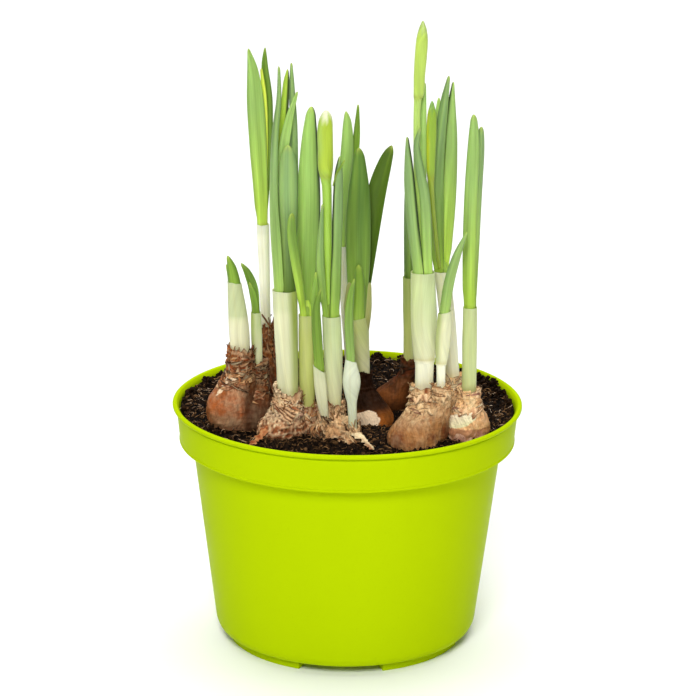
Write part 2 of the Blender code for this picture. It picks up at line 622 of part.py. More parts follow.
def soil(plant, scratch):
    """The compost that fills the pot, with a plain hole for each lobe of a bulb."""
    floor = FOOT_HEIGHT + WALL
    lean = (BODY_TOP_RADIUS - BASE_RADIUS) / (POT_HEIGHT - BAND_HEIGHT - FOOT_HEIGHT)
    shelf = POT_HEIGHT - BAND_HEIGHT + WALL
    wall_low = BASE_RADIUS - WALL - 2.2
    wall_high = BODY_TOP_RADIUS - WALL - GAP - 0.4
    band_low = BAND_FOOT_RADIUS - WALL - GAP - 0.5
    band_high = band_low + 1.2
    rings = [(floor + GAP, wall_low), (floor + 4, wall_low + 0.6 + 4 * lean),
             (shelf - 1.6, wall_high), (shelf + GAP + 0.2, wall_high + 0.2),
             (shelf + GAP + 0.2, band_low), (SOIL_LEVEL, band_high)]
    radius = band_high - SOIL_RING_STEP / 2
    while radius > SOIL_RING_STEP / 2:
        rings.append((SOIL_LEVEL, radius))
        radius -= SOIL_RING_STEP
    bm = loft([(0, 0, z, r, r) for z, r in rings], SOIL_SEGMENTS)
    for vert in bm.verts:
        if vert.co.z > SOIL_LEVEL - 0.01:
            vert.co.z = soil_height(vert.co.x, vert.co.y)
    bmesh.ops.triangulate(bm, faces=bm.faces)
    obj = add_object("soil", bm, plant, COMPOST)
    holes = []
    for shoot in SHOOTS.values():
        below = lobe_rings(shoot, GAP)
        x, y, z, rx, ry = below[-1]
        holes.append(add_object("hole", loft(below + [(x, y, z + 16, rx, ry)], BULB_SIDES), scratch))
    grown = [(x, y, z - GAP, rx + 2 * GAP, ry + 2 * GAP) for x, y, z, rx, ry in OLD_SKIN]
    holes.append(add_object("hole", loft(grown, BULB_SIDES), scratch))
    fuse(obj, holes, "DIFFERENCE")
    smooth(obj, 80)
    return obj


def pot_profile():
    """The pot's section, from the middle of its floor up the inside, over the lip and down."""
    top = POT_HEIGHT
    lip_foot = top - LIP_HEIGHT
    band_foot = top - BAND_HEIGHT
    base = FOOT_HEIGHT
    inner_band = BAND_FOOT_RADIUS - WALL
    under_lip = RIM_RADIUS - LIP_STAND_OFF
    return [
        (0, base + WALL),
        (BASE_RADIUS - WALL - 1.9, base + WALL),
        (BASE_RADIUS - WALL + 0.2, base + 4.0),
        (BODY_TOP_RADIUS - WALL, band_foot - 0.1),
        (BODY_TOP_RADIUS - WALL + 1.2, band_foot + WALL),
        (inner_band, band_foot + WALL),
        (under_lip - WALL, lip_foot + 0.2),
        (under_lip - 0.2, top - 0.3),
        (RIM_RADIUS - 1.0, top),
        (RIM_RADIUS, top - 0.7),
        (RIM_RADIUS, lip_foot + 0.7),
        (RIM_RADIUS - 0.5, lip_foot + 0.1),
        (under_lip, lip_foot),
        (BAND_FOOT_RADIUS, band_foot + 0.6),
        (BAND_FOOT_RADIUS - 0.5, band_foot),
        (BODY_TOP_RADIUS + 0.8, band_foot),
        (BODY_TOP_RADIUS, band_foot - 0.7),
        (BASE_RADIUS + 0.5, base + 4.0),
        (BASE_RADIUS - 0.9, base + 1.1),
        (BASE_RADIUS - 3.2, base),
        (0, base),
    ]


def foot(angle, scratch):
    """One curved foot: a small upright section spun through its arc."""
    bm = bmesh.new()
    bmesh.ops.create_grid(bm, x_segments=1, y_segments=1, size=0.5)
    middle = FOOT_OUTER_RADIUS - FOOT_WIDTH / 2
    for vert in bm.verts:
        taper = 0.9 if vert.co.y < 0 else 1.0
        vert.co = Vector((middle + vert.co.x * FOOT_WIDTH * taper, 0.0,
                          (FOOT_HEIGHT + 0.5) * (vert.co.y + 0.5)))
    start = math.radians(angle - FOOT_ARC / 2)
    bmesh.ops.rotate(bm, cent=(0, 0, 0), matrix=Matrix.Rotation(start, 3, "Z"), verts=bm.verts)
    bmesh.ops.spin(bm, geom=bm.faces[:] + bm.edges[:] + bm.verts[:], cent=(0, 0, 0), axis=(0, 0, 1),
                   angle=math.radians(FOOT_ARC), steps=5, use_duplicate=False)
    return add_object("foot", bm, scratch)


def drain(angle, scratch):
    """The cutter of one drain hole."""
    bm = bmesh.new()
    bmesh.ops.create_cone(bm, cap_ends=True, segments=10, radius1=DRAIN_RADIUS,
                          radius2=DRAIN_RADIUS, depth=6 * WALL)
    turn = math.radians(angle)
    place = Vector((math.cos(turn), math.sin(turn), 0)) * DRAIN_CIRCLE_RADIUS
    bmesh.ops.translate(bm, vec=place + Vector((0, 0, FOOT_HEIGHT + WALL / 2)), verts=bm.verts)
    return add_object("drain", bm, scratch)


def pot(plant, scratch):
    """The moulded pot, its feet joined to it and its drain holes cut."""
    obj = turned("pot", pot_profile(), POT_SEGMENTS, plant, POT_GREEN)
    step = 360 / FOOT_COUNT
    fuse(obj, [foot(FOOT_FIRST_ANGLE + i * step, scratch) for i in range(FOOT_COUNT)])
    step = 360 / DRAIN_COUNT
    fuse(obj, [drain(FOOT_FIRST_ANGLE + i * step, scratch) for i in range(DRAIN_COUNT)], "DIFFERENCE")
    smooth(obj, 30)
    return obj


def main():
    for obj in list(bpy.data.objects):
        bpy.data.objects.remove(obj)
    plant = bpy.data.collections.new("potted_daffodil")
    scratch = bpy.data.collections.new("cutters")
    bpy.context.scene.collection.children.link(plant)
    bpy.context.scene.collection.children.link(scratch)
    pot(plant, scratch)
    soil(plant, scratch)
    for number in sorted({shoot["bulb"] for shoot in SHOOTS.values()}):
        own = [shoot for shoot in SHOOTS.values() if shoot["bulb"] == number]
        bulb(number, own, plant, scratch)
    for number, shoot in SHOOTS.items():
        sheath(number, shoot, plant, scratch)
        leaves(number, shoot, plant, scratch)
    for number, stations in BUDS.items():
        bud(number, stations, plant)


main()
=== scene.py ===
# %% [markdown]
# # A grow pot of dwarf daffodils in bud
# Eight bulbs sit half out of dark compost in a lime-green pot, and fifteen shoots stand on them.
# The measured solids already give every piece its place and size. This lesson dresses each of
# them with a finer piece that keeps the same form, from the pot upwards.

# %% Load the measured solids
import math
import random

import bmesh
import bpy
from mathutils import Matrix, Vector, noise


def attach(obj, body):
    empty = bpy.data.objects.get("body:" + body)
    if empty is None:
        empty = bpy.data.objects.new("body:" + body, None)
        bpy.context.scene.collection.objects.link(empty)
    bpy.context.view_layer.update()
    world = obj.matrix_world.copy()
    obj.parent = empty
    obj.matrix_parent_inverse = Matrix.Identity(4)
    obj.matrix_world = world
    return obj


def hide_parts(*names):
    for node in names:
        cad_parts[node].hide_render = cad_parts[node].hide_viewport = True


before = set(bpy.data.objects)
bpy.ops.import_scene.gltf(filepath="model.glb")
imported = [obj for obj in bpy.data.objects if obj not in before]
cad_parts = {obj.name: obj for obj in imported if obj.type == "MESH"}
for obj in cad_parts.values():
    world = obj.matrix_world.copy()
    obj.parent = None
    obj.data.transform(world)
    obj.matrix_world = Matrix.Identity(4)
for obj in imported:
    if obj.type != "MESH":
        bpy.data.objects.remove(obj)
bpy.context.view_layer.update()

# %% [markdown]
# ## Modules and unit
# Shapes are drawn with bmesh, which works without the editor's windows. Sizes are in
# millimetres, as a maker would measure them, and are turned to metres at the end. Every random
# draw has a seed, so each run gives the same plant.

# Vector noise would be drawn anew in each run if its seed were not set.
noise.seed_set(11)

MM = 0.001
scene = bpy.context.scene
print("solids:", len(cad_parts))

# %% [markdown]
# ## Camera
# The real picture looks a little down on the rim, from well back, so upright leaves stay nearly
# parallel. The camera could be aimed by eye. Here it is worked out from the rim's ellipse: how
# flat the ellipse looks gives the tilt, and its size gives the distance.

# %% The camera
TILT = math.radians(16.74)
ROLL = math.radians(0.53)
DISTANCE = 1.36
RIM_HEIGHT = 0.119
ABOVE_RIM = 0.02495
LENS = 144.5
SIDE_SHIFT = 0.0002

ahead = Vector((0.0, math.cos(TILT), -math.sin(TILT)))
upward = Vector((0.0, math.sin(TILT), math.cos(TILT)))
right = Vector((1.0, 0.0, 0.0))
eye = Vector((0.0, 0.0, RIM_HEIGHT)) - ahead * DISTANCE + upward * ABOVE_RIM
right_rolled = right * math.cos(ROLL) + upward * math.sin(ROLL)
up_rolled = upward * math.cos(ROLL) - right * math.sin(ROLL)

camera = bpy.data.objects.new("camera", bpy.data.cameras.new("camera"))
scene.collection.objects.link(camera)
camera.matrix_world = Matrix((right_rolled, up_rolled, -ahead)).transposed().to_4x4()
camera.location = eye
camera.data.sensor_width = 36.0
camera.data.lens = LENS
camera.data.shift_x = SIDE_SHIFT
camera.data.clip_end = 20.0
scene.camera = camera
print("camera stands at", [round(value, 3) for value in eye])

# %% [markdown]
# ## Floor and light
# The pot is shown on plain white. A white floor under an even white sky gives that ground, and
# it lets every side of the pot be looked at in the same light. A wide panel overhead keeps the
# ground white, and a soft lamp high on the left models the shapes; a weak one on the right
# keeps their far sides open.

# %% The floor and the lights
SKY_STRENGTH = 0.16
PLANT_MIDDLE = (0.0, 0.0, 0.14)

scene.view_settings.view_transform = "Standard"
sky = bpy.data.worlds.new("sky")
sky.use_nodes = True
sky.node_tree.nodes["Background"].inputs["Color"].default_value = (1.0, 1.0, 1.0, 1.0)
sky.node_tree.nodes["Background"].inputs["Strength"].default_value = SKY_STRENGTH
scene.world = sky


def add_lamp(name, place, aim, size, watts):
    """A square soft lamp at a place, turned to an aim point."""
    lamp = bpy.data.objects.new(name, bpy.data.lights.new(name, "AREA"))
    lamp.data.size = size
    lamp.data.energy = watts
    lamp.location = place
    lamp.rotation_mode = "QUATERNION"
    lamp.rotation_quaternion = (Vector(aim) - Vector(place)).to_track_quat("-Z", "Y")
    scene.collection.objects.link(lamp)


add_lamp("ceiling_panel", (0.0, 1.4, 3.0), (0.0, 1.4, 0.0), 4.4, 146.0)
add_lamp("key_lamp", (-0.25, -1.95, 1.6), PLANT_MIDDLE, 0.8, 44.0)
add_lamp("fill_lamp", (1.4, -1.6, 0.9), PLANT_MIDDLE, 1.2, 1.5)

floor_mesh = bmesh.new()
bmesh.ops.create_grid(floor_mesh, x_segments=1, y_segments=1, size=8.0)
floor_data = bpy.data.meshes.new("floor")
floor_mesh.to_mesh(floor_data)
floor_mesh.free()
floor = bpy.data.objects.new("floor", floor_data)
scene.collection.objects.link(floor)
print("floor and three lamps placed")

# %% [markdown]
# ## Helpers for finishes
# Every finish here is made of a few nodes: a colour, a fine pattern that breaks it up, and a
# bump. The small functions below add one node each, so that a finish reads like a recipe.
# Colours are given as a colour picker shows them and are turned to linear light.

# %% Node helpers
def picked(red, green, blue):
    """A colour from 0 to 255, as a colour picker shows it, in linear light."""
    parts = []
    for value in (red, green, blue):
        value = value / 255.0
        parts.append(value / 12.92 if value <= 0.04045 else ((value + 0.055) / 1.055) ** 2.4)
    return tuple(parts)


def new_finish(name, roughness):
    """A Principled material; returns it with its tree and its shader."""
    finish = bpy.data.materials.new(name)
    finish.use_nodes = True
    shader = finish.node_tree.nodes["Principled BSDF"]
    shader.inputs["Roughness"].default_value = roughness
    return finish, finish.node_tree, shader


def stretched(tree, source, scale):
    """The source's coordinates times a scale for each axis."""
    mapping = tree.nodes.new("ShaderNodeMapping")
    mapping.inputs["Scale"].default_value = scale
    tree.links.new(source, mapping.inputs["Vector"])
    return mapping.outputs["Vector"]


def cloudy(tree, source, scale=1.0, detail=3.0, roughness=0.5, twist=0.0):
    """A noise pattern from 0 to 1."""
    pattern = tree.nodes.new("ShaderNodeTexNoise")
    pattern.inputs["Scale"].default_value = scale
    pattern.inputs["Detail"].default_value = detail
    pattern.inputs["Roughness"].default_value = roughness
    pattern.inputs["Distortion"].default_value = twist
    tree.links.new(source, pattern.inputs["Vector"])
    return pattern.outputs["Fac"]


def spread(tree, source, low, high, to_low=0.0, to_high=1.0):
    """Stretch the part of a pattern between low and high over a new range."""
    changed = tree.nodes.new("ShaderNodeMapRange")
    for name, value in (("From Min", low), ("From Max", high), ("To Min", to_low), ("To Max", to_high)):
        changed.inputs[name].default_value = value
    tree.links.new(source, changed.inputs["Value"])
    return changed.outputs["Result"]


def blended(tree, factor, first, second, blend="MIX"):
    """Two colours mixed; a colour may be a plain tuple or a socket."""
    mix = tree.nodes.new("ShaderNodeMix")
    mix.data_type = "RGBA"
    mix.blend_type = blend
    for place, value in ((0, factor), (6, first), (7, second)):
        if isinstance(value, tuple):
            mix.inputs[place].default_value = (*value, 1.0)
        elif isinstance(value, float):
            mix.inputs[place].default_value = value
        else:
            tree.links.new(value, mix.inputs[place])
    return mix.outputs[2]


def raised(tree, shader, height, distance, strength=1.0):
    """Bump the shader by a pattern; distance is in metres."""
    bump = tree.nodes.new("ShaderNodeBump")
    bump.inputs["Distance"].default_value = distance
    bump.inputs["Strength"].default_value = strength
    tree.links.new(height, bump.inputs["Height"])
    tree.links.new(bump.outputs["Normal"], shader.inputs["Normal"])


def own_coordinates(tree):
    """Where a point lies on its own piece, in metres."""
    return tree.nodes.new("ShaderNodeTexCoord").outputs["Object"]


def own_attribute(tree, name, output):
    """Something that the mesh carries at each of its points."""
    attribute = tree.nodes.new("ShaderNodeAttribute")
    attribute.attribute_name = name
    return attribute.outputs[output]


def worked(tree, operation, first, second):
    """One sum on a pattern; the second value may be a number or a socket."""
    node = tree.nodes.new("ShaderNodeMath")
    node.operation = operation
    tree.links.new(first, node.inputs[0])
    if isinstance(second, float):
        node.inputs[1].default_value = second
    else:
        tree.links.new(second, node.inputs[1])
    return node.outputs["Value"]


def painted(tree, shader, shade):
    """Give the shader the paint that the mesh carries, lighter and darker by a pattern."""
    scaled = tree.nodes.new("ShaderNodeVectorMath")
    scaled.operation = "SCALE"
    tree.links.new(own_attribute(tree, "paint", "Color"), scaled.inputs["Vector"])
    tree.links.new(shade, scaled.inputs["Scale"])
    tree.links.new(scaled.outputs["Vector"], shader.inputs["Base Color"])


floor_finish, tree, shader = new_finish("white_floor", 0.9)
tone = cloudy(tree, own_coordinates(tree), scale=3.0)
colour = blended(tree, tone, (0.93, 0.93, 0.93), (0.97, 0.97, 0.97))
tree.links.new(colour, shader.inputs["Base Color"])
floor.data.materials.append(floor_finish)
print("floor finish made")

# %% [markdown]
# ## Helpers for shapes
# A piece is drawn in millimetres in a bmesh and put down in metres, with its place in its mesh.
# Two things are carried at each point for the finishes to read: `paint`, a colour, and `grain`,
# how far across and along the piece the point lies, in millimetres. So veins and fibres follow
# a bent leaf, which a pattern on plain coordinates would not.

# %% Drawings and pieces
def new_drawing():
    """A bmesh with its two layers of paint and grain."""
    drawing = bmesh.new()
    drawing.verts.layers.float_color.new("paint")
    drawing.verts.layers.float_vector.new("grain")
    return drawing


def layers(drawing):
    """The layers of paint and grain that a drawing has."""
    return drawing.verts.layers.float_color["paint"], drawing.verts.layers.float_vector["grain"]


def as_mesh(name, drawing, scale=1.0):
    """Mesh data from a drawing, which is freed."""
    bmesh.ops.scale(drawing, vec=(scale, scale, scale), verts=drawing.verts)
    mesh = bpy.data.meshes.new(name)
    drawing.to_mesh(mesh)
    drawing.free()
    return mesh


def new_object(name, mesh):
    """An object in the scene, at the origin."""
    made = bpy.data.objects.new(name, mesh)
    scene.collection.objects.link(made)
    return made


def applied(piece):
    """A piece's mesh as its modifiers leave it."""
    return bpy.data.meshes.new_from_object(piece.evaluated_get(bpy.context.evaluated_depsgraph_get()))


def put_down(name, drawing, finishes, nodes=(), sharp=None):
    """Turn a drawing in millimetres into a finished piece that stands for its nodes."""
    mesh = as_mesh(name, drawing, MM)
    mesh.shade_smooth()
    if sharp is not None:
        mesh.set_sharp_from_angle(angle=math.radians(sharp))
    for finish in finishes:
        mesh.materials.append(finish)
    piece = new_object(name, mesh)
    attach(piece, "root")
    if nodes:
        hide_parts(*nodes)
    print(name, len(mesh.polygons), "faces")
    return piece


print("drawing helpers ready")

# %% [markdown]
# Stalks, leaves, sheaths, strands and bulbs are all closed tubes, so one helper wraps a grid
# round and lets each piece say where its points go. The operators visit everything that a
# drawing holds, so a thousand crumbs are drawn a few at a time and joined afterwards.

# %% Tubes and many small things
def wrapped(drawing, sides, rows, section):
    """A grid wrapped into a closed tube; section(turn, row) gives a point, its paint and grain."""
    paint, grain = layers(drawing)
    made = bmesh.ops.create_grid(drawing, x_segments=sides, y_segments=rows, size=1.0)["verts"]
    for vert in made:
        turn = math.pi * (vert.co.x + 1.0)
        row = round((vert.co.y + 1.0) / 2.0 * rows)
        point, colour, place = section(turn, row)
        vert.co = point
        vert[paint] = (*colour, 1.0)
        vert[grain] = place
    bmesh.ops.remove_doubles(drawing, verts=made, dist=0.0001)
    made = [vert for vert in made if vert.is_valid]
    ends = {edge for vert in made for edge in vert.link_edges if len(edge.link_faces) == 1}
    bmesh.ops.holes_fill(drawing, edges=list(ends), sides=0)
    faces = {face for vert in made for face in vert.link_faces}
    bmesh.ops.recalc_face_normals(drawing, faces=list(faces))
    return made


BATCH = 60


def add_to(whole, part):
    """Put one drawing into another; gives the number of faces that were there before."""
    mesh = as_mesh("part", part)
    before = len(whole.faces)
    whole.from_mesh(mesh)
    bpy.data.meshes.remove(mesh)
    return before


def in_batches(draw_one, total):
    """Draw many small things a few at a time, and join them."""
    whole = new_drawing()
    for first in range(0, total, BATCH):
        part = new_drawing()
        for index in range(first, min(first + BATCH, total)):
            draw_one(part, index)
        add_to(whole, part)
    return whole


print("tube and batch helpers ready")

# %% [markdown]
# The last helpers are small sums: a smooth curve through a few stations, a value held between
# two limits, two colours mixed, and points on an oval. Noise read off a circle meets itself, so
# a pattern that uses it has no seam.

# %% Curves, colours and ovals
def smooth_run(stations, count, ease=1.0):
    """Points of a smooth curve through stations of any length, closer together at the end."""
    points = [Vector(station) for station in stations]
    if len(points) == 2:
        points.insert(1, (points[0] + points[1]) / 2.0)
    points = [points[0] * 2.0 - points[1]] + points + [points[-1] * 2.0 - points[-2]]
    spans = len(points) - 3
    run = []
    for step in range(count + 1):
        place = spans * (1.0 - (1.0 - step / count) ** ease)
        span = min(int(place), spans - 1)
        t = place - span
        a, b, c, d = points[span:span + 4]
        run.append(0.5 * (2 * b + (c - a) * t + (2 * a - 5 * b + 4 * c - d) * t ** 2
                          + (3 * b - a - 3 * c + d) * t ** 3))
    return run


def held(value, low=0.0, high=1.0):
    """A value kept between two limits."""
    return min(max(value, low), high)


def mixed(first, second, amount):
    """Two plain colours mixed, with the amount kept between 0 and 1."""
    amount = held(amount)
    return tuple(a + (b - a) * amount for a, b in zip(first, second))


def on_oval(x, y, z, half_x, half_y, turn):
    """A point on a level oval, at a turn round it."""
    return Vector((x + half_x * math.cos(turn), y + half_y * math.sin(turn), z))


def ringed(turn, size, z):
    """A point on a circle round the upright axis, where a pattern without a seam is read."""
    return Vector((math.cos(turn) * size, math.sin(turn) * size, z))


print("curve, colour and oval helpers ready")

# %% [markdown]
# ## Pot finish
# The pot is thin moulded plastic of a strong yellow-green, satin, with a slight depth to its
# colour. A Principled shader with a medium roughness gives the broad soft shine. Two faint
# patterns keep it from looking flat: slow clouds in the colour, as in moulded polypropylene,
# and a grain so fine that it only softens the shine.

# %% The pot's plastic
lime_plastic, tree, shader = new_finish("lime_plastic", 0.34)
here = own_coordinates(tree)
clouds = cloudy(tree, stretched(tree, here, (18.0, 18.0, 5.0)), detail=2.0)
colour = blended(tree, clouds, picked(169, 194, 2), picked(178, 203, 4))
specks = spread(tree, cloudy(tree, here, scale=900.0, detail=1.0), 0.62, 0.8, 0.0, 0.25)
colour = blended(tree, specks, colour, picked(158, 184, 6))
tree.links.new(colour, shader.inputs["Base Color"])
shine = spread(tree, cloudy(tree, here, scale=60.0), 0.3, 0.7, 0.3, 0.4)
tree.links.new(shine, shader.inputs["Roughness"])
shader.inputs["Specular IOR Level"].default_value = 0.006
shader.inputs["Specular Tint"].default_value = (0.75, 1.0, 0.04, 1.0)
raised(tree, shader, cloudy(tree, here, scale=1400.0, detail=1.0), 0.00003)
print("pot finish made")

# %% [markdown]
# ## Pot
# A grow pot is one moulding: a rolled lip, a tapered band below it, a step in, and a wall that
# narrows to a rounded base on four low feet. It could be modelled from a cylinder. Spinning one
# profile is surer, because each height and radius can be read off it, down to the fine groove
# under the lip and the bead at the band's foot. The corners of the profile are rounded first,
# as no moulded edge is sharp.

# %% The pot's profile
RIM_RADIUS = 85.0
POT_TOP = 119.0
BAND_FOOT = 99.5
WALL = 1.3
FLOOR_UNDERSIDE = 4.1

FLOOR = FLOOR_UNDERSIDE + WALL
SHELF = BAND_FOOT + WALL
POT_PROFILE = [
    (0.0, FLOOR, 0.0), (60.2, FLOOR, 1.2), (62.5, 8.1, 1.5), (74.1, BAND_FOOT - 0.1, 0.5),
    (75.3, SHELF, 0.3), (80.0, SHELF, 0.5), (81.8, 117.0, 0.8), (82.9, POT_TOP - 0.3, 0.5),
    (84.0, POT_TOP, 0.35), (RIM_RADIUS, 118.3, 0.4), (RIM_RADIUS, 117.5, 0.3), (84.5, 116.85, 0.2),
    (82.65, 116.6, 0.1), (82.65, 115.9, 0.15), (82.98, 115.5, 0.2), (81.52, 101.1, 0.15),
    (81.85, 100.75, 0.15), (81.8, 99.95, 0.25), (81.2, BAND_FOOT, 0.2), (76.2, BAND_FOOT, 0.3),
    (75.4, 98.8, 0.4), (64.1, 8.1, 1.5), (62.7, 5.2, 1.2), (60.4, FLOOR_UNDERSIDE, 1.0),
    (0.0, FLOOR_UNDERSIDE, 0.0),
]


def rounded(profile, steps=4):
    """Replace each corner of a profile of (radius, height, rounding) by a small curve."""
    points = []
    for index, (radius, height, rounding) in enumerate(profile):
        corner = Vector((radius, height))
        if rounding == 0.0:
            points.append(corner)
            continue
        before = Vector(profile[index - 1][:2]) - corner
        after = Vector(profile[index + 1][:2]) - corner
        start = corner + before.normalized() * min(rounding, before.length * 0.45)
        end = corner + after.normalized() * min(rounding, after.length * 0.45)
        for step in range(steps + 1):
            t = step / steps
            points.append(start * (1 - t) ** 2 + corner * 2 * t * (1 - t) + end * t ** 2)
    return points


pot_section = rounded(POT_PROFILE)
print("profile of", len(pot_section), "points, widest", max(point.x for point in pot_section))

# %% [markdown]
# The feet are short curved ribs under the base, and the floor has eight drain holes. A rib is a
# small upright face spun through its arc. The holes are cut with one Boolean, which is the
# plainest way to pierce a wall that is already closed.

# %% The pot, its feet and its drain holes
FOOT_COUNT = 4
FOOT_FIRST_ANGLE = 43.0
FOOT_ARC = 50.0
FOOT_CIRCLE = 55.3
FOOT_WIDTH = 7.2
FOOT_NARROWING = 0.9
FOOT_TOP = 4.6
DRAIN_COUNT = 8
DRAIN_CIRCLE = 38.0
DRAIN_RADIUS = 3.5


def spin_pot():
    """Spin the profile round the upright axis and close it."""
    drawing = new_drawing()
    verts = [drawing.verts.new((point.x, 0.0, point.y)) for point in pot_section]
    for first, second in zip(verts, verts[1:]):
        drawing.edges.new((first, second))
    bmesh.ops.spin(drawing, geom=drawing.verts[:] + drawing.edges[:], cent=(0, 0, 0), axis=(0, 0, 1),
                   angle=math.tau, steps=132, use_merge=True, use_duplicate=False)
    bmesh.ops.remove_doubles(drawing, verts=drawing.verts, dist=0.0005)
    bmesh.ops.recalc_face_normals(drawing, faces=drawing.faces)
    return drawing


def add_foot(drawing, angle):
    """One foot: an upright face under the base, spun through its arc."""
    grid = bmesh.ops.create_grid(drawing, x_segments=1, y_segments=1, size=0.5)["verts"]
    for vert in grid:
        narrow = FOOT_NARROWING if vert.co.y < 0 else 1.0
        vert.co = Vector((FOOT_CIRCLE + vert.co.x * FOOT_WIDTH * narrow, 0.0, FOOT_TOP * (vert.co.y + 0.5)))
    start = Matrix.Rotation(math.radians(angle - FOOT_ARC / 2), 3, "Z")
    bmesh.ops.rotate(drawing, cent=(0, 0, 0), matrix=start, verts=grid)
    edges = {edge for vert in grid for edge in vert.link_edges}
    faces = {face for vert in grid for face in vert.link_faces}
    bmesh.ops.spin(drawing, geom=grid + list(edges) + list(faces), cent=(0, 0, 0), axis=(0, 0, 1),
                   angle=math.radians(FOOT_ARC), steps=18, use_duplicate=False)


def all_feet():
    """The four feet in one mesh."""
    drawing = new_drawing()
    for index in range(FOOT_COUNT):
        add_foot(drawing, FOOT_FIRST_ANGLE + index * 360.0 / FOOT_COUNT)
    bmesh.ops.recalc_face_normals(drawing, faces=drawing.faces)
    corners = [edge for edge in drawing.edges if edge.calc_face_angle(0.0) > 0.7]
    bmesh.ops.bevel(drawing, geom=corners, offset=0.4, segments=2, affect="EDGES", profile=0.5,
                    material=-1)
    return as_mesh("feet", drawing, MM)


def cut_drains(piece):
    """Pierce the pot's floor."""
    drawing = bmesh.new()
    for index in range(DRAIN_COUNT):
        angle = math.radians(FOOT_FIRST_ANGLE + index * 360.0 / DRAIN_COUNT)
        middle = on_oval(0.0, 0.0, FLOOR_UNDERSIDE + WALL / 2.0, DRAIN_CIRCLE, DRAIN_CIRCLE, angle)
        bmesh.ops.create_cone(drawing, cap_ends=True, segments=28, radius1=DRAIN_RADIUS,
                              radius2=DRAIN_RADIUS, depth=6.0 * WALL, matrix=Matrix.Translation(middle))
    cutter = new_object("drain_cutter", as_mesh("drain_cutter", drawing, MM))
    cut = piece.modifiers.new("drains", "BOOLEAN")
    cut.operation = "DIFFERENCE"
    cut.solver = "EXACT"
    cut.object = cutter
    finished = applied(piece)
    piece.modifiers.clear()
    piece.data = finished
    bpy.data.objects.remove(cutter)


grow_pot = put_down("grow_pot", spin_pot(), [lime_plastic], ["pot"])
cut_drains(grow_pot)
whole = bmesh.new()
whole.from_mesh(grow_pot.data)
whole.from_mesh(all_feet())
whole.to_mesh(grow_pot.data)
whole.free()
grow_pot.data.shade_smooth()
grow_pot.data.set_sharp_from_angle(angle=math.radians(40))
print("pot pierced and stood on its feet:", len(grow_pot.data.polygons), "faces")

# %% [markdown]
# ## Compost finish
# Moist peat compost is nearly black, with brown fibres and the odd pale fleck. On such a dark
# thing the light falling on crumbs does most of the work, so the shape carries the look and the
# finish only varies the brown and roughens it.

# %% The compost's finish
def crumbly_finish(name, roughness, grain_size):
    """Paint from the mesh, mottled and roughened."""
    finish, tree, shader = new_finish(name, roughness)
    here = own_coordinates(tree)
    painted(tree, shader,
            spread(tree, cloudy(tree, here, scale=grain_size, detail=4.0), 0.35, 0.68, 0.45, 1.6))
    shine = spread(tree, cloudy(tree, here, scale=grain_size * 0.6), 0.4, 0.62, 0.4, 0.95)
    tree.links.new(shine, shader.inputs["Roughness"])
    raised(tree, shader, cloudy(tree, here, scale=grain_size * 2.0, detail=4.0, roughness=0.7), 0.0006)
    shader.inputs["Specular IOR Level"].default_value = 0.05
    return finish


compost_finish = crumbly_finish("moist_compost", 0.8, 480.0)
fibre_finish = crumbly_finish("peat_fibre", 0.6, 700.0)
PEAT_BLACK = picked(12, 6, 3)
PEAT_BROWN = picked(52, 33, 18)
PEAT_TAN = picked(146, 108, 70)
PALE_STRAW = picked(214, 190, 166)
print("compost finishes made")

# %% [markdown]
# ## Compost
# The compost fills the pot to just under the rim: banked against the wall, hollow beside the
# fifth bulb. A fine square grid is eased into a disc, so that its cells stay even right to the
# edge, and is lifted by the same swells as the solid, with three low banks against the wall and
# finer crumbs added. The edge is drawn down inside the pot and closed underneath, which makes
# it a true body.

# %% The compost's surface
SOIL_LEVEL = 114.2
# Swells and hollows: x, y, reach along x, reach along y and rise. The last three are the banks.
SOIL_SWELLS = [
    (-18, -58, 20, 12, 2.2), (24, -2, 15, 17, -8.0), (22, -64, 16, 14, -2.6), (-52, -42, 16, 14, -2.6),
    (0, 66, 60, 26, 2.2), (-78, 0, 14, 30, 2.0), (78, 4, 12, 30, 1.8),
    (-64, 54, 20, 20, 2.0), (-82, 24, 12, 24, 1.4), (70, 44, 18, 20, 1.4),
]


def compost_height(x, y):
    """The height of the compost's surface before its crumbs, in millimetres."""
    place = Vector((x, y, 0.0))
    height = SOIL_LEVEL + 0.9 * noise.noise(place * 0.11) + 0.8 * noise.noise(place * 0.33)
    for centre_x, centre_y, reach_x, reach_y, rise in SOIL_SWELLS:
        height += rise * math.exp(-((x - centre_x) / reach_x) ** 2 - ((y - centre_y) / reach_y) ** 2)
    return height


def crumb_relief(x, y):
    """Rounded clods with cracks between them, in two sizes, and a fine grit."""
    relief = 0.5 * noise.noise(Vector((x * 1.7, y * 1.7, 3.0)))
    for size, depth in ((0.36, 1.9), (0.8, 1.1)):
        near = noise.voronoi(Vector((x * size, y * size, size * 9.0)))[0]
        relief += depth * (min(near[1] - near[0], 0.55) / 0.55 - 0.6)
    return relief


print("compost at the pot's middle:", round(compost_height(0.0, 0.0), 1), "mm high")

# %% The compost's body
SOIL_RADIUS = 81.0
SOIL_CELLS = 240
# Radius and height of each step of the edge, down inside the band, over the step and to the floor.
SKIRT = [(79.2, 101.4), (73.4, 101.1), (61.0, 9.0), (60.0, 5.8)]


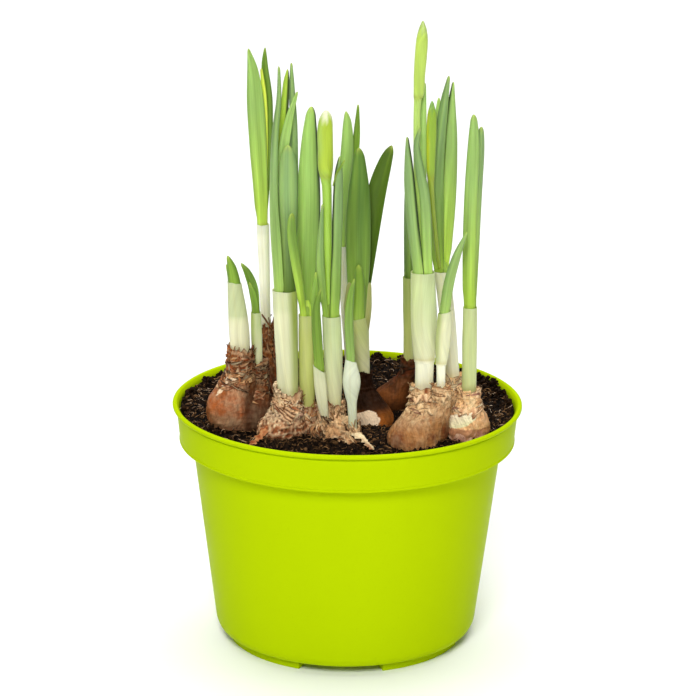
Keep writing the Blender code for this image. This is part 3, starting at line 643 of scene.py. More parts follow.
def draw_surface():
    """The square grid eased into a disc, lifted and painted."""
    drawing = new_drawing()
    paint = layers(drawing)[0]
    bmesh.ops.create_grid(drawing, x_segments=SOIL_CELLS, y_segments=SOIL_CELLS, size=1.0)
    for vert in drawing.verts:
        across = SOIL_RADIUS * vert.co.x * math.sqrt(1.0 - vert.co.y * vert.co.y / 2.0)
        deep = SOIL_RADIUS * vert.co.y * math.sqrt(1.0 - vert.co.x * vert.co.x / 2.0)
        relief = crumb_relief(across, deep)
        vert.co = Vector((across, deep, compost_height(across, deep) + relief))
        # Painted shade: black down in the cracks between the clods, browner on their tops.
        vert[paint] = (*mixed(PEAT_BLACK, PEAT_BROWN, 0.2 + 0.3 * relief), 1.0)
    return drawing


def add_skirt(drawing):
    """The edge drawn down inside the pot, and closed underneath."""
    edge_loop = [edge for edge in drawing.edges if len(edge.link_faces) == 1]
    for radius, height in SKIRT:
        grown = bmesh.ops.extrude_edge_only(drawing, edges=edge_loop)["geom"]
        edge_loop = [item for item in grown if isinstance(item, bmesh.types.BMEdge)]
        for vert in (item for item in grown if isinstance(item, bmesh.types.BMVert)):
            level = Vector((vert.co.x, vert.co.y)).normalized() * radius
            vert.co = Vector((level.x, level.y, height))
    bmesh.ops.holes_fill(drawing, edges=edge_loop, sides=0)
    bmesh.ops.recalc_face_normals(drawing, faces=drawing.faces)


compost_drawing = draw_surface()
add_skirt(compost_drawing)
put_down("compost", compost_drawing, [compost_finish], ["soil"])

# %% [markdown]
# Loose crumbs lie on the surface. Each is a small icosphere, turned and squeezed by a seeded
# draw, so that no two are alike. They could be strewn by a particle system, but real pieces
# stay with the pot wherever it goes. Thousands of them are needed to break up the outline
# against the pot and the bulbs. Larger lumps lie in heaps, mostly along the wall.

# %% Loose crumbs
crumb_draw = random.Random(11)
CRUMB_COUNT = 6000
CRUMB_REACH = 80.0
CLOD_REACH = 79.6


def compost_spot(draw, reach):
    """A place on the compost, spread evenly over the disc."""
    angle = draw.uniform(0.0, math.tau)
    radius = reach * math.sqrt(draw.random())
    return radius * math.cos(angle), radius * math.sin(angle)


def add_crumb(drawing, draw, x, y, size, lift, colour):
    """One lump of compost, turned and squeezed."""
    axis = Vector((draw.random(), 1.0, draw.random()))
    spin = Matrix.Rotation(draw.uniform(0, math.tau), 4, axis)
    squeeze = Matrix.Diagonal((size, size * draw.uniform(0.55, 1.0), size * draw.uniform(0.5, 0.9), 1.0))
    height = compost_height(x, y) + crumb_relief(x, y) + lift
    place = Matrix.Translation((x, y, height)) @ spin @ squeeze
    made = bmesh.ops.create_icosphere(drawing, subdivisions=1, radius=1.0, matrix=place)["verts"]
    paint = layers(drawing)[0]
    for vert in made:
        vert.co += Vector([draw.uniform(-0.22, 0.22) * size for _ in range(3)])
        vert[paint] = (*colour, 1.0)


def draw_crumb(drawing, index):
    """One crumb on the compost; one in six lies along the pot's wall, one in eleven is large."""
    x, y = compost_spot(crumb_draw, CRUMB_REACH)
    if index % 6 == 0:
        x, y = (Vector((x, y)).normalized() * (CRUMB_REACH - 1.8 * crumb_draw.random())).to_tuple()
    size = crumb_draw.uniform(0.3, 0.8) * (1.8 if index % 11 == 0 else 1.0)
    light = crumb_draw.random() ** 3
    colour = mixed(PEAT_BLACK, PEAT_BROWN, crumb_draw.random() ** 1.6 * 1.3)
    add_crumb(drawing, crumb_draw, x, y, size, 0.25 * size, mixed(colour, PEAT_TAN, 0.5 * light))


# Heaps of clods: x, y, spread, count, largest size and how high they are heaped.
CLODS = [
    (-56.5, -45.0, 2.6, 34, 1.9, 3.4), (16.0, 76.5, 5.0, 60, 1.6, 4.0), (28.0, 72.5, 5.0, 40, 1.6, 3.4),
    (48.0, 62.0, 4.0, 30, 1.5, 3.0), (-20.0, 77.0, 4.0, 30, 1.5, 2.8), (8.0, -58.0, 3.5, 26, 1.5, 1.6),
    (-78.0, 14.0, 6.0, 50, 1.5, 3.0), (-70.0, 36.0, 6.0, 50, 1.5, 3.0), (-52.0, 59.0, 6.0, 40, 1.5, 3.0),
    (70.0, 38.0, 5.0, 40, 1.5, 2.8), (2.0, 79.0, 5.0, 40, 1.5, 3.2), (-79.0, -8.0, 5.0, 30, 1.4, 2.2),
    (77.0, 18.0, 6.0, 80, 1.4, 3.8), (73.5, 31.0, 6.0, 90, 1.5, 4.6), (67.0, 44.0, 6.0, 90, 1.5, 4.6),
    (59.0, 54.0, 6.0, 80, 1.5, 4.2), (79.0, 4.0, 5.0, 50, 1.3, 3.0),
]


def draw_clod(drawing, index):
    """A heap of larger lumps."""
    x, y, reach, count, largest, heap = CLODS[index]
    for _ in range(count):
        near_x, near_y = crumb_draw.gauss(0.0, 0.5), crumb_draw.gauss(0.0, 0.5)
        place = Vector((x + reach * near_x, y + reach * near_y))
        place *= min(1.0, CLOD_REACH / place.length)
        lift = heap * crumb_draw.random() * math.exp(-near_x ** 2 - near_y ** 2)
        colour = mixed(PEAT_BLACK, PEAT_BROWN, crumb_draw.uniform(0.0, 1.0))
        add_crumb(drawing, crumb_draw, place.x, place.y, crumb_draw.uniform(0.5, largest), lift, colour)


crumb_drawing = in_batches(draw_crumb, CRUMB_COUNT)
add_to(crumb_drawing, in_batches(draw_clod, len(CLODS)))
put_down("compost_crumbs", crumb_drawing, [compost_finish])

# %% [markdown]
# Peat is full of short fibres, mostly brown, and many are pale as straw at the left, the back
# and the far right. Each is a thin tube along a path that bends steadily, because a straight one
# would look like a needle. Two longer arcs lie beside the first bulbs.

# %% Fibres in the compost
FIBRE_COUNT = 2300
FIBRE_REACH = 78.5
PALE_ARCS = [
    [(-64.0, -42.5), (-62.5, -44.0), (-60.8, -44.6), (-59.2, -44.0), (-58.4, -42.6)],
    [(-51.5, -41.0), (-49.0, -43.4), (-46.0, -44.2), (-43.2, -43.0), (-41.8, -40.6)],
]


def strand(drawing, path, radius, colour, sides=4):
    """A thin round strand along a path, thinner at its ends."""
    rows = len(path) - 1
    points = [Vector(point) for point in path]

    def section(turn, row):
        along = (points[min(row + 1, rows)] - points[max(row - 1, 0)]).normalized()
        side = along.cross(Vector((0.2, 0.3, 1.0))).normalized()
        up = side.cross(along)
        thin = radius * (0.35 + 0.65 * math.sin(math.pi * (row + 0.4) / (rows + 0.8)))
        point = points[row] + (side * math.cos(turn) + up * math.sin(turn)) * thin
        return point, colour, (math.cos(turn), float(row), 0.0)

    wrapped(drawing, sides, rows, section)


def curled_path(draw, start, length, steps, lift):
    """A path that wanders from its start with a steady bend, as a dry fibre does."""
    heading = draw.uniform(0.0, math.tau)
    bend = draw.uniform(-0.55, 0.55)
    point = Vector(start)
    path = [point.copy()]
    rise = draw.uniform(0.0, lift)
    for step in range(steps):
        heading += bend + draw.uniform(-0.2, 0.2)
        climb = rise * (0.5 - step / steps)
        point = point + Vector((math.cos(heading), math.sin(heading), climb)) * (length / steps)
        path.append(point.copy())
    return path


def draw_fibre(drawing, index):
    """One fibre somewhere on the compost, of which many are pale at its left, back and far right."""
    x, y = compost_spot(crumb_draw, FIBRE_REACH)
    base = compost_height(x, y) + crumb_relief(x, y)
    path = curled_path(crumb_draw, (x, y, base + 0.6), crumb_draw.uniform(1.6, 5.0), 5, 1.8)
    colour = mixed(PEAT_BROWN, PEAT_TAN, crumb_draw.random() ** 1.5 * 1.3)
    at_left = x < -54.0
    if index % 5 < (4 if at_left else 2) and (at_left or y > 10.0 or x > 60.0):
        colour = mixed(PEAT_TAN, PALE_STRAW, crumb_draw.uniform(-0.4, 0.9))
    strand(drawing, path, crumb_draw.uniform(0.09, 0.19), colour)


fibre_drawing = in_batches(draw_fibre, FIBRE_COUNT)
for arc in PALE_ARCS:
    path = [(x, y, compost_height(x, y) + crumb_relief(x, y) + 0.9) for x, y in arc]
    strand(fibre_drawing, path, 0.3, picked(170, 140, 110))
put_down("compost_fibres", fibre_drawing, [fibre_finish])

# %% [markdown]
# ## The layout of the shoots
# One entry for each shoot says which bulb it grows on, where its swelling sits, how its sheath
# climbs, and where each leaf goes. These are the numbers that the solids were made from, so the
# fine pieces land on them; only one leaf of shoot 13 is drawn a little wider here. A sheath is
# a run of (x, y, height, half width), and a leaf a run of (x, y, height, width) from the
# sheath's mouth to the tip. `face` turns a leaf and `cup` channels it. `tone` names its greens
# below and above, `lime` is how fresh its foot is, and `shaded` is a side that lies in shade.

# %% The shoots
SHOOTS = {
    1: {
        "bulb": 1,
        "lobe": {"x": -55, "y": -21, "z": 120, "radius": (12.9, 12.3), "slant": 1.5},
        "sheath": [(-51.2, -20, 147, 4.7), (-52, -20, 162, 4.8), (-54, -20, 183, 3.4)],
        "skin": ("ivory", "cream"), "green_top": (16, 0.75), "cut": (0.5, 180),
        "leaves": [
            {"at": [(-53.8, -20.5, 183, 6.2), (-55.2, -20.5, 190, 4.4), (-57.2, -20, 196, 1.2)],
             "face": 0, "cup": -0.15, "tone": ("olive", "olive"), "lime": 0.1},
            {"at": [(-55.7, -18.8, 183, 3.0), (-56.8, -18.6, 188, 2.2), (-57.8, -19, 191.5, 1.0)],
             "face": -10, "cup": 0.1, "tone": ("olive", "grass"), "lime": 0.1},
        ],
    },
    2: {
        "bulb": 1,
        "lobe": {"x": -45.5, "y": -23, "z": 117, "radius": (9.4, 9.4), "wall": 2.6},
        "sheath": [(-43.3, -15, 140, 2.4), (-43.6, -15, 153, 2.7), (-44, -15, 167, 2.4)],
        "skin": ("cream", "greenish"), "green_top": (6, 0.3),
        "side": (-1, "olive", 0.8),
        "leaves": [
            {"at": [(-44.2, -14.6, 167, 4.0), (-45.2, -14.6, 178, 4.6), (-47.8, -14.6, 186, 3.6),
                    (-51, -14.6, 191, 1.0)], "face": 10, "cup": 0.2,
             "tone": ("grass", "olive"), "lime": 0.1},
            {"at": [(-43.9, -16, 167, 4.0), (-45, -16, 175, 3.6), (-47, -16, 182, 1.0)],
             "face": 0, "cup": -0.2, "tone": ("olive", "grass"), "lime": 0.1},
        ],
    },
    3: {
        "bulb": 2,
        "lobe": {"x": -37, "y": 14, "z": 117, "radius": (9.5, 9.0)},
        "sheath": [(-40, 14, 150, 2.3), (-40.8, 14, 176, 2.7), (-41.6, 14, 203, 3.1)],
        "skin": ("white", "white"), "green_top": (4, 0.2),
        "side": (1, "greenish", 0.5),
        "leaves": [
            {"at": [(-42, 13, 203, 5.6), (-42.6, 12.8, 220, 7.0), (-43.7, 12.5, 240, 8.2),
                    (-45, 12, 262, 8.2), (-46.3, 12, 278, 5.4), (-48.4, 12, 289, 1.0)],
             "face": 5, "cup": -0.12, "tone": ("lime", "pale")},
            {"at": [(-41, 15.4, 203, 4.2), (-39, 17.2, 235, 5.4), (-38.4, 18, 262, 5.2),
                    (-40.2, 18, 279, 3.8), (-40.6, 18, 288.5, 1.0)], "face": -30, "cup": 0.3,
             "tone": ("grass", "olive")},
            {"at": [(-41.4, 14.3, 203, 2.8), (-40.6, 15, 235, 3.0), (-40.8, 15.2, 262, 2.6),
                    (-42.4, 15, 279, 1.2)], "face": 10, "cup": 0.0, "tone": ("lime", "yellow")},
        ],
    },
    4: {
        "bulb": 3,
        "lobe": {"x": -31, "y": -37, "z": 115, "radius": (12.0, 11.0), "collar": 7.0, "slant": 3.6,
                 "wall": 2.0},
        "sheath": [(-28, -36, 127, 4.6), (-28.6, -36, 150, 5.3), (-29.8, -36, 184, 5.9)],
        "skin": ("cream", "cream"), "green_top": (9, 0.45),
        # Painted shade: the right of this sheath is olive and its last three leaves are deep green at their
        # feet, where they turn from the light.
        "side": (1, "olive", 1.15),
        "leaves": [
            {"at": [(-32.7, -38, 184, 5.6), (-34.4, -39, 209, 6.0), (-35.3, -39, 231, 4.8),
                    (-34.6, -39, 258, 3.9), (-32.8, -39, 276, 2.7), (-32.7, -39, 290.5, 1.4)],
             "face": -35, "cup": -0.15, "tone": ("pale", "waxy")},
            {"at": [(-30.6, -36, 184, 4.0), (-32.3, -36, 232, 4.0), (-31.2, -35.6, 258, 4.2),
                    (-29.8, -35.4, 280, 3.4), (-28.8, -35.4, 288.5, 1.0)], "face": 20, "cup": 0.3,
             "tone": ("lime", "spring"), "shaded": (1, 0.4)},
            {"at": [(-27.2, -34, 184, 4.6), (-26.6, -33, 226, 5.4), (-26.1, -33, 258, 4.0),
                    (-26.8, -33, 278, 2.8), (-27.1, -33, 291, 1.0)], "face": -10, "cup": -0.15,
             "tone": ("deep", "waxy"), "lime": 0.0},
            {"at": [(-29, -37.4, 184, 4.4), (-30.8, -37.4, 226, 5.0), (-30.4, -37.4, 250, 4.8),
                    (-27.8, -37, 266, 3.6), (-24.2, -37, 278.5, 1.0)], "face": -5, "cup": 0.15,
             "tone": ("deep", "pale"), "lime": 0.0},
            {"at": [(-27.6, -38.8, 184, 6.0), (-27.9, -40, 214, 7.8), (-28.4, -40, 236, 8.8),
                    (-28.4, -40, 254, 6.4)], "face": 0, "cup": -0.15,
             "tone": ("deep", "waxy"), "lime": 0.0},
        ],
    },
    5: {
        "bulb": 3,
        "lobe": {"x": -21.8, "y": -32, "z": 115.5, "radius": (7.6, 8.0), "wall": 1.8},
        "sheath": [(-18.8, -32, 123, 3.3), (-19.2, -32, 145, 3.9), (-19.5, -32, 171, 3.9)],
        "skin": ("yellowish", "yellowish"), "green_top": (6, 0.2),
        "side": (1, "olive", 0.35),
        "leaves": [
            {"at": [(-19.4, -31.4, 171, 6.2), (-19.0, -30.4, 197, 9.8), (-18.6, -29.6, 222, 11.4),
                    (-18.5, -29.4, 240, 9.8), (-18.3, -29.4, 256, 7.2), (-17.8, -29.4, 270, 3.6)],
             "face": 10, "cup": -0.2, "tone": ("grass", "pale"), "lime": 0.4,
             "shaded": (1, 0.66)},
            {"at": [(-20.8, -33.8, 171, 3.4), (-22.4, -39.4, 185, 4.0), (-24.6, -42.6, 200, 4.6),
                    (-26.2, -44, 213, 4.6), (-26.3, -44.4, 223, 3.4)], "face": 20, "cup": -0.12,
             "tone": ("lime", "grass")},
        ],
    },
    6: {
        "bulb": 4,
        "lobe": {"x": -12.5, "y": -42, "z": 117, "radius": (5.0, 5.5)},
        "sheath": [(-10.2, -43, 121, 1.8), (-12, -43.5, 133, 2.7), (-13.4, -44, 148, 3.0)],
        "skin": ("ivory", "cream"), "green_top": (3, 0.3), "cut": (1.9, 180),
        "leaves": [
            {"at": [(-13.9, -43.2, 148, 3.4), (-15, -42.8, 166, 4.2), (-15.5, -42.6, 182, 3.6),
                    (-15.2, -42.6, 194.5, 1.0)], "face": -10, "cup": -0.15, "tone": ("olive", "grass")},
            {"at": [(-12.6, -44.6, 148, 3.8), (-14.2, -45.6, 166, 4.4), (-14.6, -45.6, 178, 3.6),
                    (-12.9, -45.6, 187, 1.0)], "face": 10, "cup": -0.2, "tone": ("olive", "olive")},
        ],
    },
    7: {
        "bulb": 4,
        "lobe": {"x": -6.6, "y": -37.5, "z": 115, "radius": (7.8, 7.8)},
        "sheath": [(-6.3, -37, 126, 3.4), (-6.8, -37, 150, 4.4), (-7.9, -37, 172, 4.4)],
        "skin": ("cream", "greenish"), "green_top": (8, 0.15),
        "leaves": [
            {"at": [(-10.6, -37.6, 172, 2.8), (-12.9, -38.6, 190, 4.2), (-13.4, -38.6, 204, 3.4),
                    (-12.4, -38.6, 226, 1.0)], "face": -10, "cup": -0.15, "tone": ("grass", "waxy")},
            {"at": [(-6.2, -38.6, 172, 4.8), (-5.8, -39.4, 190, 5.2), (-5.5, -39.8, 205, 4.8),
                    (-5.2, -40, 222, 5.0), (-4.9, -40, 240, 4.0), (-4.6, -40, 249, 1.0)],
             "face": 10, "cup": -0.15, "tone": ("grass", "waxy"), "shaded": (-1, 0.5)},
            {"at": [(-7.3, -39.6, 236, 1.4), (-5.7, -40.3, 241, 1.8), (-3.9, -40.7, 244.4, 1.6),
                    (-2.2, -41, 247.6, 0.9)], "face": 40, "cup": 0.0, "tone": ("deep", "olive")},
        ],
    },
    8: {
        "bulb": 4,
        "lobe": {"x": 3, "y": -46, "z": 113, "radius": (6.0, 6.0)},
        "sheath": [(2.8, -46.6, 117, 1.9), (2.2, -46.4, 131, 2.3), (2, -46.2, 135, 2.9),
                   (1.9, -46.2, 143, 4.2), (1.5, -46, 152.5, 2.7)],
        "skin": ("milky", "milky"), "green_top": (2, 0.1), "cut": (0.9, 200),
        "leaves": [
            {"at": [(1.6, -46, 152.5, 4.0), (0.5, -46.4, 170, 4.2), (0.9, -46.4, 183, 3.2),
                    (2.7, -46.4, 192.5, 1.0)], "face": 5, "cup": -0.2, "tone": ("waxy", "grass")},
        ],
    },
    9: {
        "bulb": 5,
        "lobe": {"x": 12, "y": -12, "z": 113, "radius": (10.6, 10.2)},
        "sheath": [(8.4, -8, 133, 2.3), (6, -8, 148, 4.4), (4.2, -8, 163, 5.6)],
        "skin": ("cream", "lichen"), "green_top": (10, 0.3), "cut": (0.9, 20),
        "side": (-1, "olive", 0.9),
        "leaves": [
            {"at": [(4.3, -9, 163, 7.6), (4.6, -9.4, 186, 11.0), (4.4, -9.4, 206, 12.0),
                    (4.6, -9, 224, 10.2), (4.6, -8.6, 236, 7.0), (4.3, -8.4, 246, 4.0)],
             "face": 0, "cup": -0.15, "tone": ("grass", "moss")},
            {"at": [(6, -5.6, 163, 5.0), (9.8, -3, 197, 8.0), (13.2, 0, 222, 9.0),
                    (16.8, 1.6, 236, 6.8), (20.0, 2, 245, 3.0)], "face": -10, "cup": 0.2,
             "tone": ("night", "deep"), "lime": 0.1},
            {"at": [(4.8, -10.6, 163, 6.0), (5.2, -11.8, 178, 5.4), (4.8, -12, 190, 3.0)],
             "face": 0, "cup": -0.2, "tone": ("grass", "olive")},
        ],
        "flaps": [
            {"at": [(0.6, -10.6, 158, 4.2), (-0.2, -13.4, 170, 4.2), (0.4, -14, 182, 2.4)],
             "face": -20, "cup": -0.1},
            {"at": [(8.8, -9.4, 156, 3.0), (10.0, -10.6, 168, 3.0), (10.2, -10.8, 181, 1.8)],
             "face": 25, "cup": -0.1},
        ],
    },
    10: {
        "bulb": 6,
        "lobe": {"x": 21.5, "y": 19, "z": 113, "radius": (9.2, 9.0)},
        "sheath": [(30, 18, 132, 2.4), (29.8, 18, 155, 2.9), (29.6, 18, 176, 3.2)],
        # Painted shade: this sheath is dark olive, as it stands in shadow, with painted light on its lit
        # right side.
        "skin": ("lichen", "olive"), "green_top": (14, 0.1),
        "side": (1, "greenish", 0.8),
        "leaves": [
            {"at": [(29.2, 18, 176, 4.6), (28.6, 18, 200, 4.4), (27.9, 18, 216, 2.8),
                    (27.6, 18, 224, 1.0)], "face": -10, "cup": -0.2, "tone": ("deep", "waxy"), "lime": 0.0},
        ],
    },
    11: {
        "bulb": 7,
        "lobe": {"x": 32, "y": -45, "z": 113.5, "radius": (13.3, 12.0), "wall": 2.2},
        "sheath": [(36, -42, 135, 4.1), (36, -42, 150, 4.5), (35.9, -42, 153, 5.0),
                   (35.4, -42, 172, 6.1), (34.5, -42, 195, 5.6)],
        "skin": ("ivory", "greenish"), "green_top": (3.5, 0.5), "inner_from": 42.0,
        "side": (-1, "lichen", 0.3),
        "leaves": [
            {"at": [(32.4, -44, 195, 5.2), (29.6, -44.8, 215, 5.8), (27.6, -44.8, 235, 5.4),
                    (26.8, -44.8, 248, 3.8), (26.2, -44.8, 259.5, 1.2)], "face": -15, "cup": -0.2,
             "tone": ("waxy", "waxy"), "shaded": (1, 0.46)},
            {"at": [(37, -42.6, 195, 4.6), (35.2, -43.4, 228, 4.9), (32.6, -43.6, 243, 4.2),
                    (30.7, -43.6, 255, 3.0), (32.2, -43.6, 263.5, 1.2)], "face": 10, "cup": -0.2,
             "tone": ("pale", "waxy")},
            {"at": [(34.6, -39.6, 195, 3.4), (34.2, -36, 222, 3.4), (33.9, -35.6, 245, 3.4),
                    (33.6, -35.6, 270, 3.0), (34, -35.6, 283, 1.4)], "face": 0, "cup": -0.1,
             "tone": ("grass", "pale")},
        ],
    },
    12: {
        "bulb": 7,
        "lobe": {"x": 41, "y": -45.5, "z": 118, "radius": (6.8, 6.6), "collar": 7.0, "wall": 2.4},
        "sheath": [(44, -47, 134, 1.9), (43.6, -47, 150, 2.2), (43.7, -47, 152.5, 2.7),
                   (44.4, -47, 165, 3.6), (44.9, -47, 177, 3.2)],
        "skin": ("cream", "cream"), "green_top": (3, 0.3), "cut": (0.8, 0), "inner_from": 24.5,
        "side": (-1, "olive", 0.8),
        "leaves": [
            {"at": [(44.9, -47, 177, 5.0), (46.9, -47, 191, 5.0), (50.2, -47, 204, 3.9),
                    (54.4, -47, 215.5, 0.9)], "face": 10, "cup": -0.25, "tone": ("waxy", "waxy")},
        ],
    },
    13: {
        "bulb": 8,
        "lobe": {"x": 50.4, "y": -30.4, "z": 119, "radius": (8.4, 8.0), "wall": 2.2},
        "sheath": [(50.2, -29, 138, 3.1), (47.4, -29, 165, 3.6), (43.8, -29, 192, 3.9)],
        "skin": ("white", "ivory"), "green_top": (10, 0.2),
        "leaves": [
            {"at": [(41.8, -29.4, 192, 5.6), (40.2, -29.6, 222, 7.4), (40.6, -29.6, 244, 6.2),
                    (43.0, -29.6, 270, 4.2), (45.3, -29.6, 285, 1.2)], "face": -12, "cup": -0.15,
             "tone": ("olive", "waxy"), "lime": 0.6},
            {"at": [(44.9, -27.6, 192, 5.8), (46.2, -26, 225, 8.1), (46.9, -26, 252, 6.9),
                    (47.0, -26, 270, 4.0), (47.5, -26, 281.5, 1.0)], "face": 12, "cup": -0.15,
             "tone": ("lime", "mist"), "lime": 0.3, "shaded": (-1, 0.5)},
            {"at": [(43.3, -27.6, 192, 3.4), (41.6, -26.2, 235, 4.0), (40.7, -26, 262, 3.2),
                    (41, -26, 274, 1.2)], "face": -5, "cup": 0.1, "tone": ("grass", "pale")},
        ],
    },
    14: {
        "bulb": 8,
        "lobe": {"x": 56.6, "y": -37, "z": 117, "radius": (11.2, 10.6), "collar": 4.5, "wall": 2.2},
        "sheath": [(57.4, -38, 133, 3.3), (57.2, -38, 155, 3.5), (57, -38, 177, 3.3)],
        "skin": ("leafy", "leafy"), "green_top": (6, 0.2),
        "leaves": [
            {"at": [(56.4, -38.8, 177, 6.0), (56, -39, 205, 6.4), (56.2, -39, 232, 6.2),
                    (56.9, -39, 255, 5.4), (56.7, -39, 269, 2.6)], "face": -5, "cup": -0.2,
             "tone": ("spring", "mist"), "lime": 0.1},
            {"at": [(58.3, -36.8, 177, 4.0), (59.4, -35.6, 230, 5.2), (60.2, -35.2, 250, 4.8),
                    (60.5, -35.2, 262.5, 3.0)], "face": 20, "cup": -0.15, "tone": ("spring", "waxy"),
             "lime": 0.1},
        ],
    },
    15: {
        "bulb": 5,
        "lobe": {"x": 6.4, "y": 1.5, "z": 112, "radius": (6.6, 6.6)},
        "sheath": [(2.4, 4.6, 126, 2.4), (-0.6, 4.6, 160, 2.7), (-2.7, 4.6, 195, 2.7)],
        "skin": ("white", "white"), "green_top": (6, 0.1),
        "leaves": [
            {"at": [(-3.1, 3.8, 195, 4.4), (-3.6, 3, 206, 4.8), (-2.8, 2.6, 223, 6.2),
                    (-1.1, 2.6, 241, 6.3), (-1.1, 2.6, 254.5, 4.4), (-1.9, 2.6, 261.2, 1.2)],
             "face": 10, "cup": -0.15, "tone": ("pale", "pale")},
            {"at": [(-1.2, 5.6, 195, 3.0), (0.4, 6, 217, 3.8), (2.1, 6.2, 237, 3.6),
                    (2.9, 6.2, 250, 3.4), (3.7, 6.2, 263.8, 1.0)], "face": 20, "cup": 0.35,
             "tone": ("night", "olive"), "lime": 0.0},
        ],
    },
}
print("shoots:", len(SHOOTS), "leaves:", sum(len(shoot["leaves"]) for shoot in SHOOTS.values()))

# %% [markdown]
# ## Leaf finish
# A young daffodil leaf is a waxy strap: grey-green where its bloom of wax is whole, fresh lime
# low down where it has just left the dark, and deep green on its inner side. Fine veins run its
# length. The slow changes are painted on the mesh; the veins are a noise pattern drawn out
# along the leaf, which also lifts them a little. A touch of subsurface light keeps the thin
# blade from looking like painted metal.

# %% The leaf's finish
def veined_finish(name, roughness, contrast, vein_width, relief, glow, glow_colour):
    """Paint from the mesh, broken up by veins that follow the piece."""
    finish, tree, shader = new_finish(name, roughness)
    grain = own_attribute(tree, "grain", "Vector")
    veins = cloudy(tree, stretched(tree, grain, (1.0 / vein_width, 0.02, 0.0)), detail=3.0, roughness=0.6)
    streaks = spread(tree, veins, 0.3, 0.7, 1.0 - contrast, 1.0 + contrast)
    broad = cloudy(tree, stretched(tree, grain, (0.35, 0.03, 0.0)), detail=2.0)
    painted(tree, shader, worked(tree, "MULTIPLY", streaks, spread(tree, broad, 0.3, 0.7, 0.9, 1.1)))
    raised(tree, shader, veins, relief)
    shader.inputs["Subsurface Weight"].default_value = glow
    shader.inputs["Subsurface Radius"].default_value = glow_colour
    shader.inputs["Subsurface Scale"].default_value = 0.001
    return finish


leaf_finish = veined_finish("waxy_leaf", 0.42, 0.14, 0.6, 0.00016, 0.25, (0.6, 1.2, 0.25))
leaf_shader = leaf_finish.node_tree.nodes["Principled BSDF"]
leaf_shader.inputs["Specular IOR Level"].default_value = 0.3
leaf_shader.inputs["Specular Tint"].default_value = (0.85, 1.0, 0.75, 1.0)
print("leaf finish made")

# %% [markdown]
# ## Leaves
# Each blade is a tube flattened into a strap, bent along its stations and channelled across.
# Starting from a tube gives it a closed skin with soft edges and real thickness, which a sheet
# with a Solidify would leave square. Low down, the outer leaves wrap a common core that stands
# in the sheath, as the leaves of one shoot do.

# %% The leaves' colours
GREENS = {
    "lime": picked(190, 222, 80), "pale": picked(164, 200, 108), "waxy": picked(129, 160, 100),
    "grass": picked(126, 162, 68), "olive": picked(104, 138, 46), "deep": picked(78, 104, 26),
    "night": picked(26, 56, 2), "moss": picked(88, 122, 50), "mist": picked(154, 188, 104),
    "yellow": picked(226, 240, 90), "spring": picked(158, 188, 60),
}
DEEP_GREEN = GREENS["deep"]
SHADE_GREEN = picked(22, 38, 8)
TIP_YELLOW = picked(190, 196, 90)
LIME_REACH = 16.0
TIP_REACH = 4.5


def leaf_colour(tone, rise, length, front, lime=0.35):
    """The low colour with some lime at its foot, the high colour above and a yellow tip."""
    low, high = (GREENS[name] for name in tone)
    colour = mixed(low, high, rise / (0.6 * length + 6.0))
    colour = mixed(colour, GREENS["lime"], lime * math.exp(-rise / LIME_REACH))
    if not front:
        colour = mixed(colour, DEEP_GREEN, 0.25)
    tip = max(0.0, 1.0 - (length - rise) / TIP_REACH)
    return mixed(colour, TIP_YELLOW, 0.55 * tip * tip)


def blade_colour(leaf, across, rise, length, front, seed):
    """A leaf's colour with broad slow bands, darker edges and the side that lies in shade."""
    dark_side, dark_from = leaf.get("shaded", (0.0, 0.5))
    colour = leaf_colour(leaf["tone"], rise, length, front, leaf.get("lime", 0.35))
    band = noise.noise(Vector((across * 1.6 + seed, rise * 0.012, seed)))
    colour = mixed(colour, DEEP_GREEN, held(0.7 * band, 0.0, 0.3))
    colour = mixed(colour, GREENS["lime"], held(-0.4 * band, 0.0, 0.14))
    colour = mixed(colour, DEEP_GREEN, 0.3 * across ** 4)
    dark_here = dark_from + 0.3 * (1.0 - rise / length)
    dark = (dark_side * across - dark_here + 0.1 * band) / 0.1
    return mixed(colour, SHADE_GREEN, held(dark, 0.0, 0.92))


print("greens:", ", ".join(GREENS))

# %% [markdown]
# A blade's foot is hard to get right: three leaves come out of one narrow mouth, one inside the
# other. So near the mouth each point of a blade is pushed on to the mouth's oval, in front of
# the core or behind it, and the push fades over the first centimetre.

# %% The mouth that the blades come out of
SHEATH_RIM = 1.2
SOCKET_DEPTH = 6.0
WRAP_HEIGHT = 11.0
FLATNESS = 0.72


def sheath_ring(stations, height, grow=0.0):
    """The sheath's centre and half widths at one height."""
    for low, high in zip(stations, stations[1:]):
        if height <= high[2]:
            break
    t = (height - low[2]) / (high[2] - low[2])
    x, y, half = (low[i] + (high[i] - low[i]) * t for i in (0, 1, 3))
    return x, y, half + grow, half * FLATNESS + grow


def mouth_of(shoot):
    """The mouth's centre and half widths, its lean for each millimetre up, and its height."""
    stations = shoot["sheath"]
    height = stations[-1][2]
    x, y, half_x, half_y = sheath_ring(stations, height, -0.55)
    low_x, low_y = sheath_ring(stations, height - SOCKET_DEPTH)[:2]
    return x, y, half_x, half_y, (x - low_x) / SOCKET_DEPTH, (y - low_y) / SOCKET_DEPTH, height


def wrap_share(rise):
    """How fully a blade still wraps the others at a height above the sheath's mouth."""
    t = held(1.0 - rise / WRAP_HEIGHT)
    return t * t * (3.0 - 2.0 * t)


def hugged(mouth, point, out, skin):
    """A point of a blade pushed on to the mouth's oval, in front of it or behind."""
    x, y, rx, ry, lean_x, lean_y, mouth_height = mouth
    height = point.z - mouth_height
    x, y = x + lean_x * height, y + lean_y * height
    across = held((point.x - x) / rx, -0.98, 0.98)
    side = -1.0 if out.y < 0.0 and point.y <= y + 0.3 * ry else 1.0
    deep = ry * math.sqrt(1.0 - across * across)
    skin = -skin if side < 0.0 and out.y > 0.0 else skin
    return Vector((x + across * (rx + skin * abs(across)), y + side * (deep + skin), point.z))


print("first mouth, in millimetres:", [round(value, 1) for value in mouth_of(SHOOTS[1])])

# %% The blades, the core and the green pieces
BLADE_THICKNESS = 0.95


